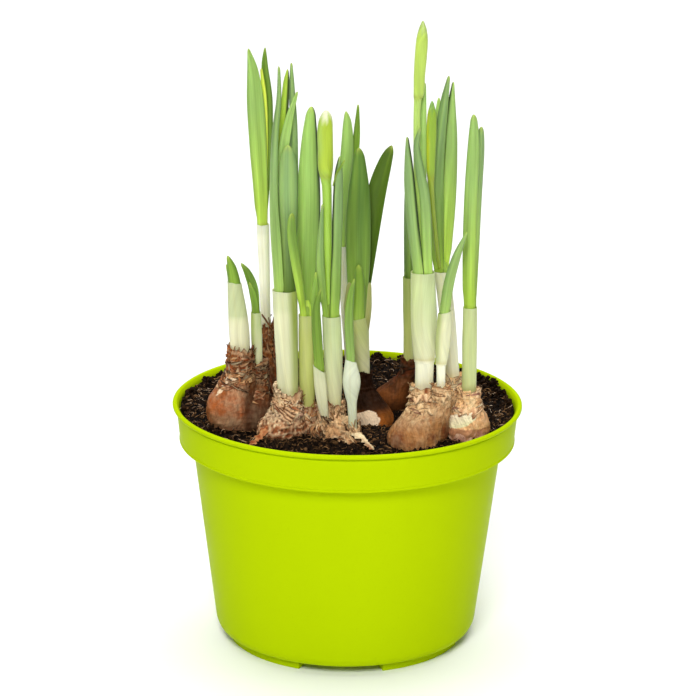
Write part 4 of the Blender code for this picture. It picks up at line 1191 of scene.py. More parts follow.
def add_blade(drawing, leaf, rows=56, sides=20):
    """One strap leaf, from just under the mouth to its tip."""
    stations = leaf["at"]
    run = smooth_run(stations, rows, ease=1.5)
    length = stations[-1][2] - stations[0][2]
    tip = Vector(run[-1][:3])
    round_length = 1.3 * stations[-1][3]
    turn_face = math.radians(leaf["face"])
    front = Vector(leaf.get("front", (math.sin(turn_face), -math.cos(turn_face), 0.0)))
    colour_of = leaf.get("colour_of")
    mouth = leaf.get("mouth")
    ragged = leaf.get("ragged", 0.0)
    seed = stations[-1][0] * 1.7 + stations[-1][2] * 0.3

    def section(turn, row):
        here = run[row]
        step = run[min(row + 1, rows)] - run[max(row - 1, 0)]
        along = Vector(step[:3]).normalized()
        side = along.cross(front).normalized()
        out = side.cross(along).normalized()
        near_tip = 1.0 - min((tip - Vector(here[:3])).length / round_length, 1.0)
        width = max(here[3] * math.sqrt(max(1.0 - near_tip ** 2, 0.0)), 0.5)
        across = math.cos(turn)
        if ragged:
            side_seed = 3.0 if across > 0.0 else 8.0
            width *= 1.0 + ragged * noise.noise(Vector((row * 0.45, side_seed, seed)))
        thick = min(leaf.get("thick", BLADE_THICKNESS), 0.35 * width)
        rise = here[2] - stations[0][2]
        keel = 0.12 * math.exp(-(across / 0.16) ** 2) if width > 4.0 else 0.0
        wave = 0.1 * noise.noise(Vector((here[0] * 0.3, rise * 0.06, across)))
        lift = leaf["cup"] * width * across ** 2 + thick / 2.0 * math.sin(turn) + keel * 0.5 + wave
        point = Vector(here[:3]) + side * (across * width / 2.0) + out * lift
        if mouth and rise < WRAP_HEIGHT:
            point = point.lerp(hugged(mouth, point, out, thick / 2.0 * math.sin(turn)), wrap_share(rise))
        if colour_of:
            colour = colour_of(rise, length, across)
        else:
            colour = blade_colour(leaf, across, rise, length, math.sin(turn) > 0.0, seed)
        return point, colour, (across * width / 2.0 + seed, rise, here[0])

    return wrapped(drawing, sides, rows, section)


def add_core(drawing, shoot):
    """The leaves' common foot, from the socket up to where the blades part."""
    stations = shoot["sheath"]
    mouth = stations[-1][2]
    x, y, rx, ry = sheath_ring(stations, mouth)
    low_x, low_y, low_rx, low_ry = sheath_ring(stations, mouth - SOCKET_DEPTH + 0.3, -SHEATH_RIM - 0.2)
    lean_x, lean_y = (x - low_x) / SOCKET_DEPTH, (y - low_y) / SOCKET_DEPTH
    levels = [(-5.7, min(low_rx, rx - 1.4), min(low_ry, ry - 1.4)), (-0.4, rx - 0.8, ry - 0.8),
              (0.6, rx - 1.0, ry - 1.0), (2.0, rx * 0.78, ry * 0.74), (4.0, rx * 0.6, ry * 0.5),
              (7.0, rx * 0.2, ry * 0.2)]
    tone = shoot["leaves"][-1]["tone"]

    def section(turn, row):
        rise, half_x, half_y = levels[row]
        point = on_oval(x + lean_x * rise, y + lean_y * rise, mouth + rise, half_x, half_y, turn)
        return point, leaf_colour(tone, max(rise, 0.0), 60.0, True), (half_x * math.cos(turn), rise, 0.0)

    wrapped(drawing, 28, len(levels) - 1, section)


for number, shoot in SHOOTS.items():
    leaf_drawing = new_drawing()
    add_core(leaf_drawing, shoot)
    mouth = mouth_of(shoot)
    for leaf in shoot["leaves"]:
        x, y, z, width = leaf["at"][0]
        sunk = dict(leaf, mouth=mouth if z == shoot["sheath"][-1][2] else None)
        sunk["at"] = [(x, y, z - 1.0, width)] + leaf["at"][1:]
        add_blade(leaf_drawing, sunk)
    put_down(f"green_leaves_{number}", leaf_drawing, [leaf_finish], [f"leaves_{number}"])

# %% [markdown]
# ## Sheath finish
# The sheath is a thin skin, cream where it hid under the soil and greenish near its top, where
# the leaf shows through it. It takes more subsurface light than the leaf and has fainter veins.

# %% The sheath's finish
sheath_finish = veined_finish("cream_sheath", 0.4, 0.05, 0.5, 0.00006, 0.35, (1.4, 1.3, 0.7))
SKINS = {
    "ivory": picked(222, 220, 184), "cream": picked(217, 218, 176), "greenish": picked(196, 209, 152),
    "lichen": picked(186, 195, 112), "olive": picked(150, 166, 76), "yellowish": picked(192, 199, 112),
    "milky": picked(214, 220, 192), "white": picked(246, 246, 220), "leafy": picked(186, 198, 134),
}
WET_GREEN = picked(180, 192, 138)
FOOT_SHADE = picked(196, 186, 120)


def sheath_colour(shoot, down, turn, length):
    """From its foot's colour to its mouth's, with the leaves showing through near the mouth."""
    low, high = (SKINS[name] for name in shoot["skin"])
    colour = mixed(low, high, 1.3 - 1.6 * down / length)
    reach, strength = shoot["green_top"]
    fade = 1.0 if down < reach else math.exp(-(down - reach) / 1.5)
    colour = mixed(colour, WET_GREEN, strength * fade)
    # One side of a sheath gets another colour: painted shade on the right of the fourth, which is turned from
    # the light, and painted light on the lit right of the tenth.
    if "side" in shoot:
        side, name, amount = shoot["side"]
        fade = held((side * math.cos(turn) - 0.15) / 0.5)
        colour = mixed(colour, SKINS[name], amount * fade * (1.0 - 0.5 * down / length))
    seam = math.exp(-((math.sin(turn / 2.0 + 0.9)) / 0.04) ** 2)
    colour = mixed(colour, FOOT_SHADE, 0.3 * seam)
    if "inner_from" in shoot:
        below = down - shoot["inner_from"]
        colour = mixed(colour, SKINS["white"], held(below, 0.0, 0.8))
        colour = mixed(colour, FOOT_SHADE, 0.5 * math.exp(-below ** 2))
    return mixed(colour, FOOT_SHADE, 0.5 * (down / length) ** 6)


print("sheath finish made, skins:", ", ".join(SKINS))

# %% [markdown]
# ## Sheaths
# A sheath is a tube with a clean-cut mouth. The grid is wrapped once: up the outside, over a
# thin rim and back down inside, so the mouth really is open and the leaves come out of it.

# %% The sheaths
SHEATH_RIBS = 17.0
# How the wrapped grid turns in at the mouth: the drop below it and the change in half width.
MOUTH_TURN = [(0.0, -0.1), (-0.1, -0.22), (-0.6, -0.35), (-3.0, -0.6), (-5.0, -0.8)]
FLAP_COLOUR = picked(158, 162, 92)


def add_sheath(drawing, shoot, sides=36, rows=44):
    """One sheath, ribbed and a little uneven, with its mouth cut at a slant."""
    stations = shoot["sheath"]
    foot, mouth = stations[0][2], stations[-1][2]
    tilt, heading = shoot.get("cut", (0.3, 90))
    heading = math.radians(heading)
    levels = [tuple(step) for step in smooth_run(stations, rows)]
    for drop, shrink in MOUTH_TURN:
        x, y, half = sheath_ring(stations, mouth + drop)[:3]
        levels.append((x, y, mouth + drop + 0.02, half + shrink))

    def section(turn, row):
        x, y, z, half = levels[row]
        down = mouth - z
        uneven = 0.0
        if row <= rows:
            uneven = 0.035 * math.sin(turn * SHEATH_RIBS + 0.6 * math.sin(z * 0.08))
        if 0 < row < rows:
            uneven += 0.12 * noise.noise(ringed(turn, 1.0, z * 0.09))
        lift = tilt * math.cos(turn - heading) + 0.25 * noise.noise(Vector((math.cos(turn) * 2.0, x, y)))
        lift *= math.exp(-((down - 0.3) / 5.0) ** 2)
        point = on_oval(x, y, z + lift, half + uneven, half * FLATNESS + uneven, turn)
        return point, sheath_colour(shoot, down, turn, mouth - foot), (turn * half, down, 0.0)

    return wrapped(drawing, sides, len(levels) - 1, section)


for number, shoot in SHOOTS.items():
    sheath_drawing = new_drawing()
    add_sheath(sheath_drawing, shoot)
    for flap in shoot.get("flaps", []):
        thin = dict(flap, thick=0.45, colour_of=lambda rise, length, across: FLAP_COLOUR)
        add_blade(sheath_drawing, thin, rows=30)
    put_down(f"pale_sheath_{number}", sheath_drawing, [sheath_finish], [f"sheath_{number}"],
             sharp=60)

# %% [markdown]
# ## Buds
# A closed bud is a pointed spindle on a round stalk, wrapped in a thin skin, with a waist where
# the stalk ends. It is a tube again, with soft ridges that turn slightly round it. The colour
# runs from yellow-green to a paler tip.

# %% The buds
BUDS = {
    7: [(-8.7, -36.7, 173.5, 1.3), (-9.7, -36.4, 203, 2.0), (-10.3, -36.4, 230, 2.2),
        (-10.7, -36.4, 236, 2.4), (-11.0, -36.4, 240, 3.1), (-11.2, -36.4, 244, 3.6),
        (-11.3, -36.4, 252, 3.6), (-11.5, -36.4, 260, 3.6), (-11.2, -36.4, 265.5, 3.1),
        (-11.0, -36.4, 268.2, 2.0), (-11.0, -36.4, 269.6, 0.8)],
    11: [(33.8, -41.2, 196.5, 1.4), (31.5, -39.8, 229, 1.5), (30.7, -39.4, 262, 1.6),
         (30.8, -39.4, 274.5, 1.7), (31.2, -39.4, 277.5, 2.3), (31.4, -39.4, 281, 2.5),
         (31.5, -39.4, 287, 2.6), (32.0, -39.4, 295, 2.8), (32.5, -39.4, 303, 2.7),
         (32.7, -39.4, 308, 1.9), (32.7, -39.4, 310.8, 0.9), (32.7, -39.4, 312, 0.4)],
    13: [(42.6, -30.8, 193.5, 0.9), (41.2, -32.6, 203, 1.0), (38.4, -34.2, 228, 1.2),
         (37.4, -34.4, 243, 2.0), (37.4, -34.4, 257, 2.3), (37.5, -34.4, 267, 2.1),
         (37.6, -34.4, 272, 1.1), (37.6, -34.4, 274, 0.4)],
}
# Where each stalk ends, the colours of stalk, bud, tip and left side, and how deep the ridges are.
BUD_LOOKS = {
    7: {"waist": 237, "stalk": picked(154, 192, 66), "bud": picked(168, 192, 46),
        "tip": picked(216, 220, 180), "left": picked(160, 190, 84), "ridge": 0.03},
    11: {"waist": 275, "stalk": picked(172, 202, 96), "bud": picked(174, 200, 82),
         "tip": picked(168, 190, 104), "left": picked(186, 210, 90), "ridge": 0.05},
    13: {"waist": 236, "stalk": picked(140, 160, 46), "bud": picked(138, 170, 44),
         "tip": picked(120, 160, 70), "left": picked(184, 192, 44), "ridge": 0.09},
}
BAND_COLOUR = picked(150, 160, 30)
bud_finish = veined_finish("bud_skin", 0.38, 0.08, 0.7, 0.00008, 0.3, (1.0, 1.2, 0.3))


def bud_colour(look, x, z, turn, above, top):
    """Stalk, bud, a band where they meet, the left side's own colour and the tip's."""
    colour = mixed(look["stalk"], look["bud"], above)
    sideways = math.cos(turn) + 0.5 * noise.noise(Vector((turn, z * 0.08, x)))
    colour = mixed(colour, look["left"], above * held(-1.6 * sideways - 0.5))
    colour = mixed(colour, BAND_COLOUR, 0.5 * math.exp(-((z - look["waist"] - 2.0) / 1.4) ** 2))
    pale = noise.noise(ringed(turn, 2.0, z * 0.2))
    return mixed(colour, look["tip"], (z - top + 6.5 + 5.0 * pale) / 5.0)


def add_bud(drawing, number, rows=90, sides=28):
    """One stalk with its bud, which has three soft ridges."""
    stations = BUDS[number]
    look = BUD_LOOKS[number]
    run = smooth_run(stations, rows)

    def section(turn, row):
        x, y, z, half = run[row]
        half = max(half, 0.3)
        above = held((z - look["waist"]) / 6.0)
        ridges = above * look["ridge"] * half * math.cos(3.0 * turn + z * 0.05)
        point = on_oval(x, y, z, half + ridges, half * 0.9 + ridges, turn)
        return point, bud_colour(look, x, z, turn, above, stations[-1][2]), (turn * half, z, 0.0)

    wrapped(drawing, sides, rows, section)


for number in BUDS:
    bud_drawing = new_drawing()
    add_bud(bud_drawing, number)
    put_down(f"closed_bud_{number}", bud_drawing, [bud_finish], [f"bud_{number}"])

# %% [markdown]
# ## Bulb finish
# A bulb's coat is dry and papery, with fibres along it, smooth and satin where it is whole and
# dull where it frays. The colour is painted on the mesh for each bulb. The finish adds the
# fibres, darker lines and small scratches.

# %% The bulb's finish
def papery_finish(name, roughness, contrast, relief):
    """Paint from the mesh, with fine fibres, thin dark creases and a broken satin shine."""
    finish, tree, shader = new_finish(name, roughness)
    grain = own_attribute(tree, "grain", "Vector")
    fibres = cloudy(tree, stretched(tree, grain, (1.1, 0.12, 0.3)), detail=5.0, roughness=0.65, twist=0.5)
    lines = spread(tree, fibres, 0.34, 0.66, 1.0 - contrast, 1.0 + contrast)
    folds = cloudy(tree, stretched(tree, grain, (0.2, 0.42, 0.3)), detail=4.0, roughness=0.55, twist=1.2)
    off_middle = worked(tree, "ABSOLUTE", worked(tree, "SUBTRACT", folds, 0.5), 0.0)
    creases = spread(tree, off_middle, 0.0, 0.03, 1.0 - contrast, 1.0)
    painted(tree, shader, worked(tree, "MULTIPLY", lines, creases))
    shader.inputs["Specular IOR Level"].default_value = 0.06
    shader.inputs["Specular Tint"].default_value = (1.0, 0.82, 0.66, 1.0)
    shine = spread(tree, folds, 0.35, 0.65, roughness + 0.2, roughness - 0.05)
    tree.links.new(shine, shader.inputs["Roughness"])
    raised(tree, shader, folds, relief)
    return finish


coat_finish = papery_finish("papery_coat", 0.36, 0.2, 0.0005)
scrap_finish = papery_finish("torn_paper", 0.45, 0.22, 0.0003)
print("bulb finishes made")

# %% [markdown]
# ## Bulbs
# Each nose of a bulb is a round body drawn up into a ragged neck. The noses and any old skin
# round them are lofted one by one and then fused into one skin with a voxel Remesh, which also
# gives even cells to wrinkle. Every point then gets a push in or out: slow lumps, wavy folds on
# the shoulders, coarse fibres at the neck.

# %% The bulbs' looks
ORANGE_BROWN = picked(172, 92, 40)
RED_BROWN = picked(140, 70, 36)
DARK_BROWN = picked(64, 36, 20)
PAINTED_SHADE_BROWN = picked(34, 17, 8)
TAN = picked(204, 148, 98)
STRAW = picked(232, 190, 138)
PEACH = picked(244, 200, 152)
CREAM_SKIN_AND_HIGHLIGHT = picked(238, 216, 172)

# `body`, `edge` and `neck` are colours. `folds`, `fray` and `crinkle` say how strongly a coat
# folds, frays at its neck and crinkles; `grain` draws the crinkles out, round and up; and
# `pale` says how strongly a painted highlight lightens their crests.
COATS = {
    1: {"body": picked(176, 130, 96), "edge": picked(162, 90, 50), "neck": picked(160, 92, 42),
        "folds": 0.35, "fray": 1.0, "crinkle": 0.15, "grain": (0.7, 0.3), "pale": 0.6},
    2: {"body": DARK_BROWN, "edge": RED_BROWN, "neck": picked(172, 106, 54),
        "folds": 0.2, "fray": 1.0, "crinkle": 0.4, "grain": (0.6, 0.4), "pale": 0.5},
    3: {"body": picked(180, 122, 82), "edge": picked(140, 76, 42), "neck": picked(255, 228, 184),
        "folds": 0.6, "fray": 0.7, "crinkle": 0.9, "grain": (0.55, 0.62), "pale": 0.65},
    4: {"body": picked(220, 170, 118), "edge": picked(170, 112, 70), "neck": STRAW,
        "folds": 0.6, "fray": 0.8, "crinkle": 0.9, "grain": (0.7, 0.3), "pale": 0.8},
    # The nearly black necks of bulbs 5 and 6 are painted shade, as both lie deep in shadow.
    5: {"body": picked(168, 96, 38), "edge": picked(126, 76, 34), "neck": picked(20, 11, 6),
        "folds": 0.1, "fray": 0.5, "crinkle": 0.1, "grain": (0.8, 0.2), "pale": 0.05},
    6: {"body": picked(110, 62, 28), "edge": picked(84, 48, 24), "neck": picked(30, 17, 10),
        "folds": 0.05, "fray": 0.2, "crinkle": 0.1, "grain": (0.8, 0.2), "pale": 0.05},
    7: {"body": picked(170, 116, 68), "edge": picked(122, 68, 38), "neck": picked(238, 196, 144),
        "folds": 0.4, "fray": 0.5, "crinkle": 0.12, "grain": (1.2, 0.14), "pale": 0.6},
    8: {"body": picked(248, 198, 138), "edge": picked(216, 152, 98), "neck": picked(248, 200, 140),
        "folds": 0.5, "fray": 0.3, "crinkle": 0.3, "grain": (0.9, 0.2), "pale": 1.0},
}
print("coats for", len(COATS), "bulbs")

# %% [markdown]
# A nose is lofted from rings: swelling up from a rounded base, then drawn in to a neck round its
# sheath, and turned in at the top so that the sheath comes out of a dip. Bulb 4 also keeps a
# loose bag of old skin between its noses.

# %% The noses
BASE_ANGLES = (80, 60, 40, 20, 0)
WIDEST_RING = len(BASE_ANGLES) - 1
NECK_STEPS = (0.1, 0.22, 0.34, 0.45, 0.58, 0.7, 0.85, 1.0)
BARE_PAINT = (0.5, 0.5, 0.5)
OLD_SKIN_BULB = 4
OLD_SKIN = [(-4, -41, 104, 5, 4), (-4, -41, 108, 9, 7), (-3.6, -41, 113.5, 11, 8.4),
            (-4.6, -41, 118.5, 9.8, 7.4), (-5.6, -40.4, 122.5, 8, 6)]


def nose_rings(shoot):
    """Rings (x, y, z, x radius, y radius) of one nose, foot to collar."""
    lobe = shoot["lobe"]
    rx, ry = lobe["radius"]
    depth = 0.95 * min(rx, ry)
    rings = []
    for angle in BASE_ANGLES:
        shrink = math.cos(math.radians(angle))
        rings.append((lobe["x"], lobe["y"], lobe["z"] - depth * math.sin(math.radians(angle)),
                      rx * shrink, ry * shrink))
    foot = shoot["sheath"][0]
    top = foot[2] + lobe.get("collar", 3.0)
    end = foot[3] + lobe.get("wall", 1.5)
    for t in NECK_STEPS:
        ease = (1.0 - math.cos(math.pi * min(t * 1.25, 1.0))) / 2.0
        rings.append((lobe["x"] + (foot[0] - lobe["x"]) * ease, lobe["y"] + (foot[1] - lobe["y"]) * ease,
                      lobe["z"] + (top - lobe["z"]) * t, rx + (end - rx) * ease, ry + (end - ry) * ease))
    return rings


def add_nose(drawing, shoot, sides=48):
    """A closed nose whose top dips in round the sheath."""
    rings = nose_rings(shoot)
    half = shoot["sheath"][0][3]
    slant = shoot["lobe"].get("slant", 0.0)
    x, y, z, rx, ry = rings[-1]
    rings += [(x, y, z - 0.2, rx - 0.7, ry - 0.7), (x, y, z - 3.0, half + 0.3, half * FLATNESS + 0.5),
              (x, y, z - 3.4, half * 0.4, half * 0.3)]
    collar = len(rings) - 4

    def section(turn, row):
        x, y, z, rx, ry = rings[row]
        if row >= collar:
            z += 1.6 * noise.noise(ringed(turn, 2.2, x)) - slant * math.cos(turn)
        return on_oval(x, y, z, rx, ry, turn), BARE_PAINT, (0.0, 0.0, 0.0)

    wrapped(drawing, sides, len(rings) - 1, section)


def add_old_skin(drawing, sides=48):
    """The loose bag of old skin."""
    def section(turn, row):
        x, y, z, rx, ry = OLD_SKIN[row]
        return on_oval(x, y, z, rx, ry, turn), BARE_PAINT, (0.0, 0.0, 0.0)

    wrapped(drawing, sides, len(OLD_SKIN) - 1, section)


print("first nose, foot to collar:", [round(ring[2], 1) for ring in nose_rings(SHOOTS[1])])

# %% [markdown]
# The voxel Remesh forgets paint and grain, so both are put back afterwards: each point finds
# the nose that it belongs to, and reads off its turn round that nose and its height up it.

# %% Fuse the noses, and find the nose round a point
VOXEL = 0.45


def fused_mesh(drawing, name):
    """One even skin round all that a drawing holds, in millimetres."""
    lump = new_object(name, as_mesh(name, drawing))
    remesh = lump.modifiers.new("one_skin", "REMESH")
    remesh.mode = "VOXEL"
    remesh.voxel_size = VOXEL
    fused = applied(lump)
    bpy.data.objects.remove(lump)
    return fused


def ring_at(rings, z):
    """A nose's ring (x, y, x radius, y radius) at a height, held at its foot and its collar."""
    low, high = rings[0], rings[1]
    for low, high in zip(rings, rings[1:]):
        if z <= high[2]:
            break
    t = held((z - low[2]) / max(high[2] - low[2], 0.01))
    return [low[i] + (high[i] - low[i]) * t for i in (0, 1, 3, 4)]


def span_of(rings):
    """The heights of a nose's widest ring and of its collar."""
    return rings[WIDEST_RING][2], rings[-1][2]


def nearest_nose(noses, point):
    """The nose round a point: its turn, its height from 0 at the widest ring to 1 at the collar."""
    best = None
    for shoot, rings in noses:
        x, y, rx, ry = ring_at(rings, point.z)
        reach = math.hypot((point.x - x) / rx, (point.y - y) / ry)
        if best is None or reach < best[0]:
            widest = shoot["lobe"]["z"]
            height = (point.z - widest) / (rings[-1][2] - widest)
            best = (reach, math.atan2(point.y - y, point.x - x), height, (rx + ry) / 2.0)
    return best[1:]


print("voxels of", VOXEL, "mm")

# %% [markdown]
# The wrinkles are sums of noise, read off in different ways: slow lumps anywhere, folds that
# hang down the shoulders, level folds round the neck, fray at its edge, and a fine crinkle. A
# winding line is where a noise crosses nought. Sculpting by hand would also do, but here a few
# numbers set the look of each bulb.

# %% Wrinkles
def groove(value, width):
    """1 where a noise crosses nought, falling to 0 beside it: a pattern of winding lines."""
    return max(0.0, 1.0 - abs(value) / width)


def wrinkle(coat, turn, height, radius, point):
    """How far a point stands out in millimetres, its painted shade in a hollow, its height on a fold."""
    warp = noise.noise_vector(point * 0.12) * 1.1
    upright = ringed(turn, 3.4, point.z * 0.09) + warp
    around = ringed(turn, 1.8, point.z * 0.26 + 0.5 * math.sin(2.0 * turn)) + warp
    neck = held((height - 0.25) / 0.4)
    level = groove(noise.noise(around * 1.5), 0.34) ** 1.5
    slow = ringed(turn, 2.4, point.z * 0.07) + warp * 0.3
    hanging = groove(noise.noise(slow), 0.32) ** 1.3
    crest = coat["folds"] * (0.25 * level + 0.75 * hanging + neck * (0.6 * level - 0.4 * hanging))
    small = coat["folds"] * groove(noise.noise(around * 2.9 + Vector((5.0, 2.0, 8.0))), 0.3) ** 1.5
    out = 0.45 * noise.noise(point * 0.17) + 0.15 * noise.noise(upright)
    settled = held((height + 0.45) / 0.5, 0.1)
    out += settled * (1.3 * crest + 0.3 * small * neck - 0.6 * coat["folds"])
    lines = 0.35 * groove(noise.noise(upright * 0.7), 0.05)
    lines += 0.7 * coat["folds"] * groove(noise.noise(slow + Vector((0.14, 0.1, 0.0))), 0.08)
    lines += neck * coat["folds"] * groove(noise.noise(around * 1.5 + Vector((0.16, 0.1, 0.2))), 0.09)
    fray = noise.noise(ringed(turn, 9.0, point.z * 0.5) + warp)
    slant = turn * radius * 0.5
    grain_x, grain_z = coat["grain"]
    lengthways = noise.noise(Vector((slant * grain_x, point.z * grain_z - slant * 0.2, radius)) + warp)
    upwards = noise.noise(Vector((slant * 0.5, point.z * 0.6, radius)) + warp)
    crinkle = lengthways + (upwards - lengthways) * neck
    rough = coat["crinkle"] + (0.8 - coat["crinkle"]) * neck
    out += coat["fray"] * neck * 1.2 * fray - 0.3 * min(lines, 1.0) + 0.9 * rough * crinkle * settled
    crease_shade = 0.9 * lines + 1.3 * max(-fray, 0.0) * neck * coat["fray"]
    crease_shade += 0.7 * rough * groove(crinkle + 0.12, 0.05)
    crest += 0.3 * small + 2.4 * rough * crinkle
    return out, min(crease_shade, 1.0), held(crest, -1.0)


print("wrinkle helpers ready")

# %% [markdown]
# A bulb's paint follows its shape: painted shade down in the creases and hollows, a painted
# highlight on the crests, another colour at the neck. Some bulbs have marks of their own, such
# as a slit, a peeled patch, a side in painted shade, or the fans of fine folds on the front of
# the third, with painted shade in each fold and a painted highlight on its back.

# %% Paint for the bulbs
FOLDED_BULB = 3
FOLD_FRONT = -34.0
FOLD_DEPTH = 0.35
SLIT_CREAM = picked(232, 204, 168)
PEELED_CREAM = picked(240, 212, 178)
# How dark bulbs 5 and 6 are at a height: the first towards its neck, the other towards its foot.
SHADE_LINES = {5: lambda height: 3.5 * (height - 0.04), 6: lambda height: 2.0 * (0.2 - height)}


# Fans of fine folds on the front of bulb 3. Each has its middle (x, z), its first and last
# angle, the angle from fold to fold, its nearest and farthest reach, and two colours: painted
# shade down in a fold and a painted highlight up on its back. The first fan is one dark band,
# the painted shadow under the neck's ragged edge.
FOLD_FANS = [
    ((-42.8, 134.5), (-25.0, -17.0), 8.0, (8.0, 22.0), picked(84, 52, 26), picked(214, 164, 116)),
    ((-42.8, 134.5), (-40.0, -25.0), 5.0, (8.0, 21.0), picked(104, 60, 32), picked(236, 188, 142)),
    ((-24.4, 122.8), (13.0, 53.0), 10.0, (0.5, 11.0), picked(110, 42, 24), picked(244, 192, 160)),
]


def fan_at(number, point):
    """Depth in bulb 3's fans of folds, from -1 to 1, and their painted shade and highlight colours."""
    for (middle_x, middle_z), (low, high), step, (near, far), dark, pale in FOLD_FANS:
        across, up = point.x - middle_x, point.z - middle_z
        angle = math.degrees(math.atan2(up, across)) + 1.4 * noise.noise(point * 0.4)
        inside = low < angle < high and near < math.hypot(across, up) < far
        if number == FOLDED_BULB and point.y < FOLD_FRONT and inside:
            return -math.cos(math.tau * (angle - low) / step), dark, pale
    return 0.0, PEACH, PEACH


def coat_colour(number, coat, turn, height, point, crease_shade, crest):
    """Body, neck, orange edges and a bulb's few patches; painted highlight and crease shade over all."""
    patchy = noise.noise(point * 0.15 + Vector((number * 7.0, 0.0, 0.0)))
    speckle = noise.noise(point * 0.7)
    colour = mixed(coat["body"], coat["edge"], 0.3 + 1.4 * patchy + 0.5 * speckle)
    if number == 1:
        colour = mixed(colour, ORANGE_BROWN, 0.95 * max(-math.cos(turn) - 0.1, 0.0) ** 2)
        # Painted shade: bulb 1 is darker from its middle to the right, over its second nose.
        colour = mixed(colour, DARK_BROWN, held((point.x + 50.5) / 4.0, 0.0, 0.8))
        slit = abs(point.x + 62.6 - 0.9 * (point.z - 128.8)) / max(0.3 * (point.z - 128.2), 0.01)
        if point.y < -20.0 and 128.8 < point.z < 137.5 and slit < 1.0 + 0.5 * noise.noise(point * 0.8):
            return SLIT_CREAM
    neck = held((height - 0.25) / 0.35)
    colour = mixed(colour, coat["neck"], neck * (0.8 + 0.6 * patchy))
    fibre = noise.noise(ringed(turn, 5.0, point.z * 0.25))
    colour = mixed(colour, RED_BROWN, max(0.0, 0.2 + fibre) * 0.8 * (0.3 + neck) * coat["fray"])
    # Painted highlight on the crests and painted shade in the hollows between them.
    colour = mixed(colour, CREAM_SKIN_AND_HIGHLIGHT, 0.5 * coat["pale"] * max(crest, 0.0))
    colour = mixed(colour, mixed(RED_BROWN, PAINTED_SHADE_BROWN, 0.3), 0.6 * max(-crest, 0.0))
    if number in SHADE_LINES:
        colour = mixed(colour, PAINTED_SHADE_BROWN, held(SHADE_LINES[number](height), 0.0, 0.94))
    if number == FOLDED_BULB:
        colour = mixed(colour, RED_BROWN, held(-2.2 * (height - 0.02), 0.0, 0.6))
        speck = 2.0 * noise.noise(point * 0.8)
        colour = mixed(mixed(colour, DARK_BROWN, max(-speck - 0.2, 0.0)), CREAM_SKIN_AND_HIGHLIGHT, max(speck - 0.4, 0.0))
    # More painted shade over bulb 1's second nose, laid over the neck's colours.
    if number == 1:
        colour = mixed(colour, DARK_BROWN, held((point.x + 50.5) / 5.0, 0.0, 0.5))
    if number == 5:
        patch = ((point.x - 9.6) / 6.0) ** 2 + ((point.z - 115.4) / 4.2) ** 2
        if point.y < -14.0 and patch + 0.5 * noise.noise(point * 0.3) < 1.0:
            return PEELED_CREAM
    if number == 8:
        slope = (point.z - 123.2 - 0.3 * (point.x - 53.0)) / 3.0
        patch = ((point.x - 53.0) / 8.0) ** 2 + slope ** 2
        if point.y < -40.0 and patch + 0.4 * noise.noise(point * 0.3) < 1.0:
            return mixed(picked(250, 234, 200), picked(226, 218, 168), 0.5 - 0.5 * slope)
        if point.z < 119.5:
            colour = mixed(colour, picked(180, 118, 84), 0.8)
        colour = mixed(colour, picked(170, 112, 80), held((point.x - 61.0) / 8.0, 0.0, 0.5))
    # Painted shade down in the creases.
    return mixed(colour, PAINTED_SHADE_BROWN, 0.85 * crease_shade)


def finish_bulb(number):
    """One bulb's skin with its wrinkles, its paint and its grain."""
    shoots = [shoot for shoot in SHOOTS.values() if shoot["bulb"] == number]
    coat = COATS[number]
    drawing = new_drawing()
    for shoot in shoots:
        add_nose(drawing, shoot)
    if number == OLD_SKIN_BULB:
        add_old_skin(drawing)
    fused = fused_mesh(drawing, f"lump_{number}")
    drawing = new_drawing()
    drawing.from_mesh(fused)
    bpy.data.meshes.remove(fused)
    bmesh.ops.recalc_face_normals(drawing, faces=drawing.faces)
    paint, grain = layers(drawing)
    noses = [(shoot, nose_rings(shoot)) for shoot in shoots]
    pushed = []
    for vert in drawing.verts:
        turn, height, radius = nearest_nose(noses, vert.co)
        out, crease_shade, crest = wrinkle(coat, turn, height, radius, vert.co)
        fold, dark, pale = fan_at(number, vert.co)
        colour = coat_colour(number, coat, turn, height, vert.co, crease_shade, crest)
        # Painted shade in the fans' folds and a painted highlight on their backs.
        vert[paint] = (*mixed(colour, dark if fold > 0.0 else pale, 0.95 * abs(fold) ** 0.5), 1.0)
        vert[grain] = (turn * radius, vert.co.z, number * 5.0)
        pushed.append(vert.normal * (out * (1.0 if height > -0.3 else 0.3) - FOLD_DEPTH * fold))
    for vert, push in zip(drawing.verts, pushed):
        vert.co += push
    return drawing, noses


# %% [markdown]
# Torn paper is what makes a bulb look old: scraps of the outer coats that cling round the
# neck, folded and curled, with shreds that stand up between them. Large sheets would look cut
# out, so many small scraps are used. Each is a little grid bent to its nose, pinched at both
# ends, lifted by noise and given a real thickness.

# %% Scraps and shreds
SCRAP_THICKNESS = 0.16


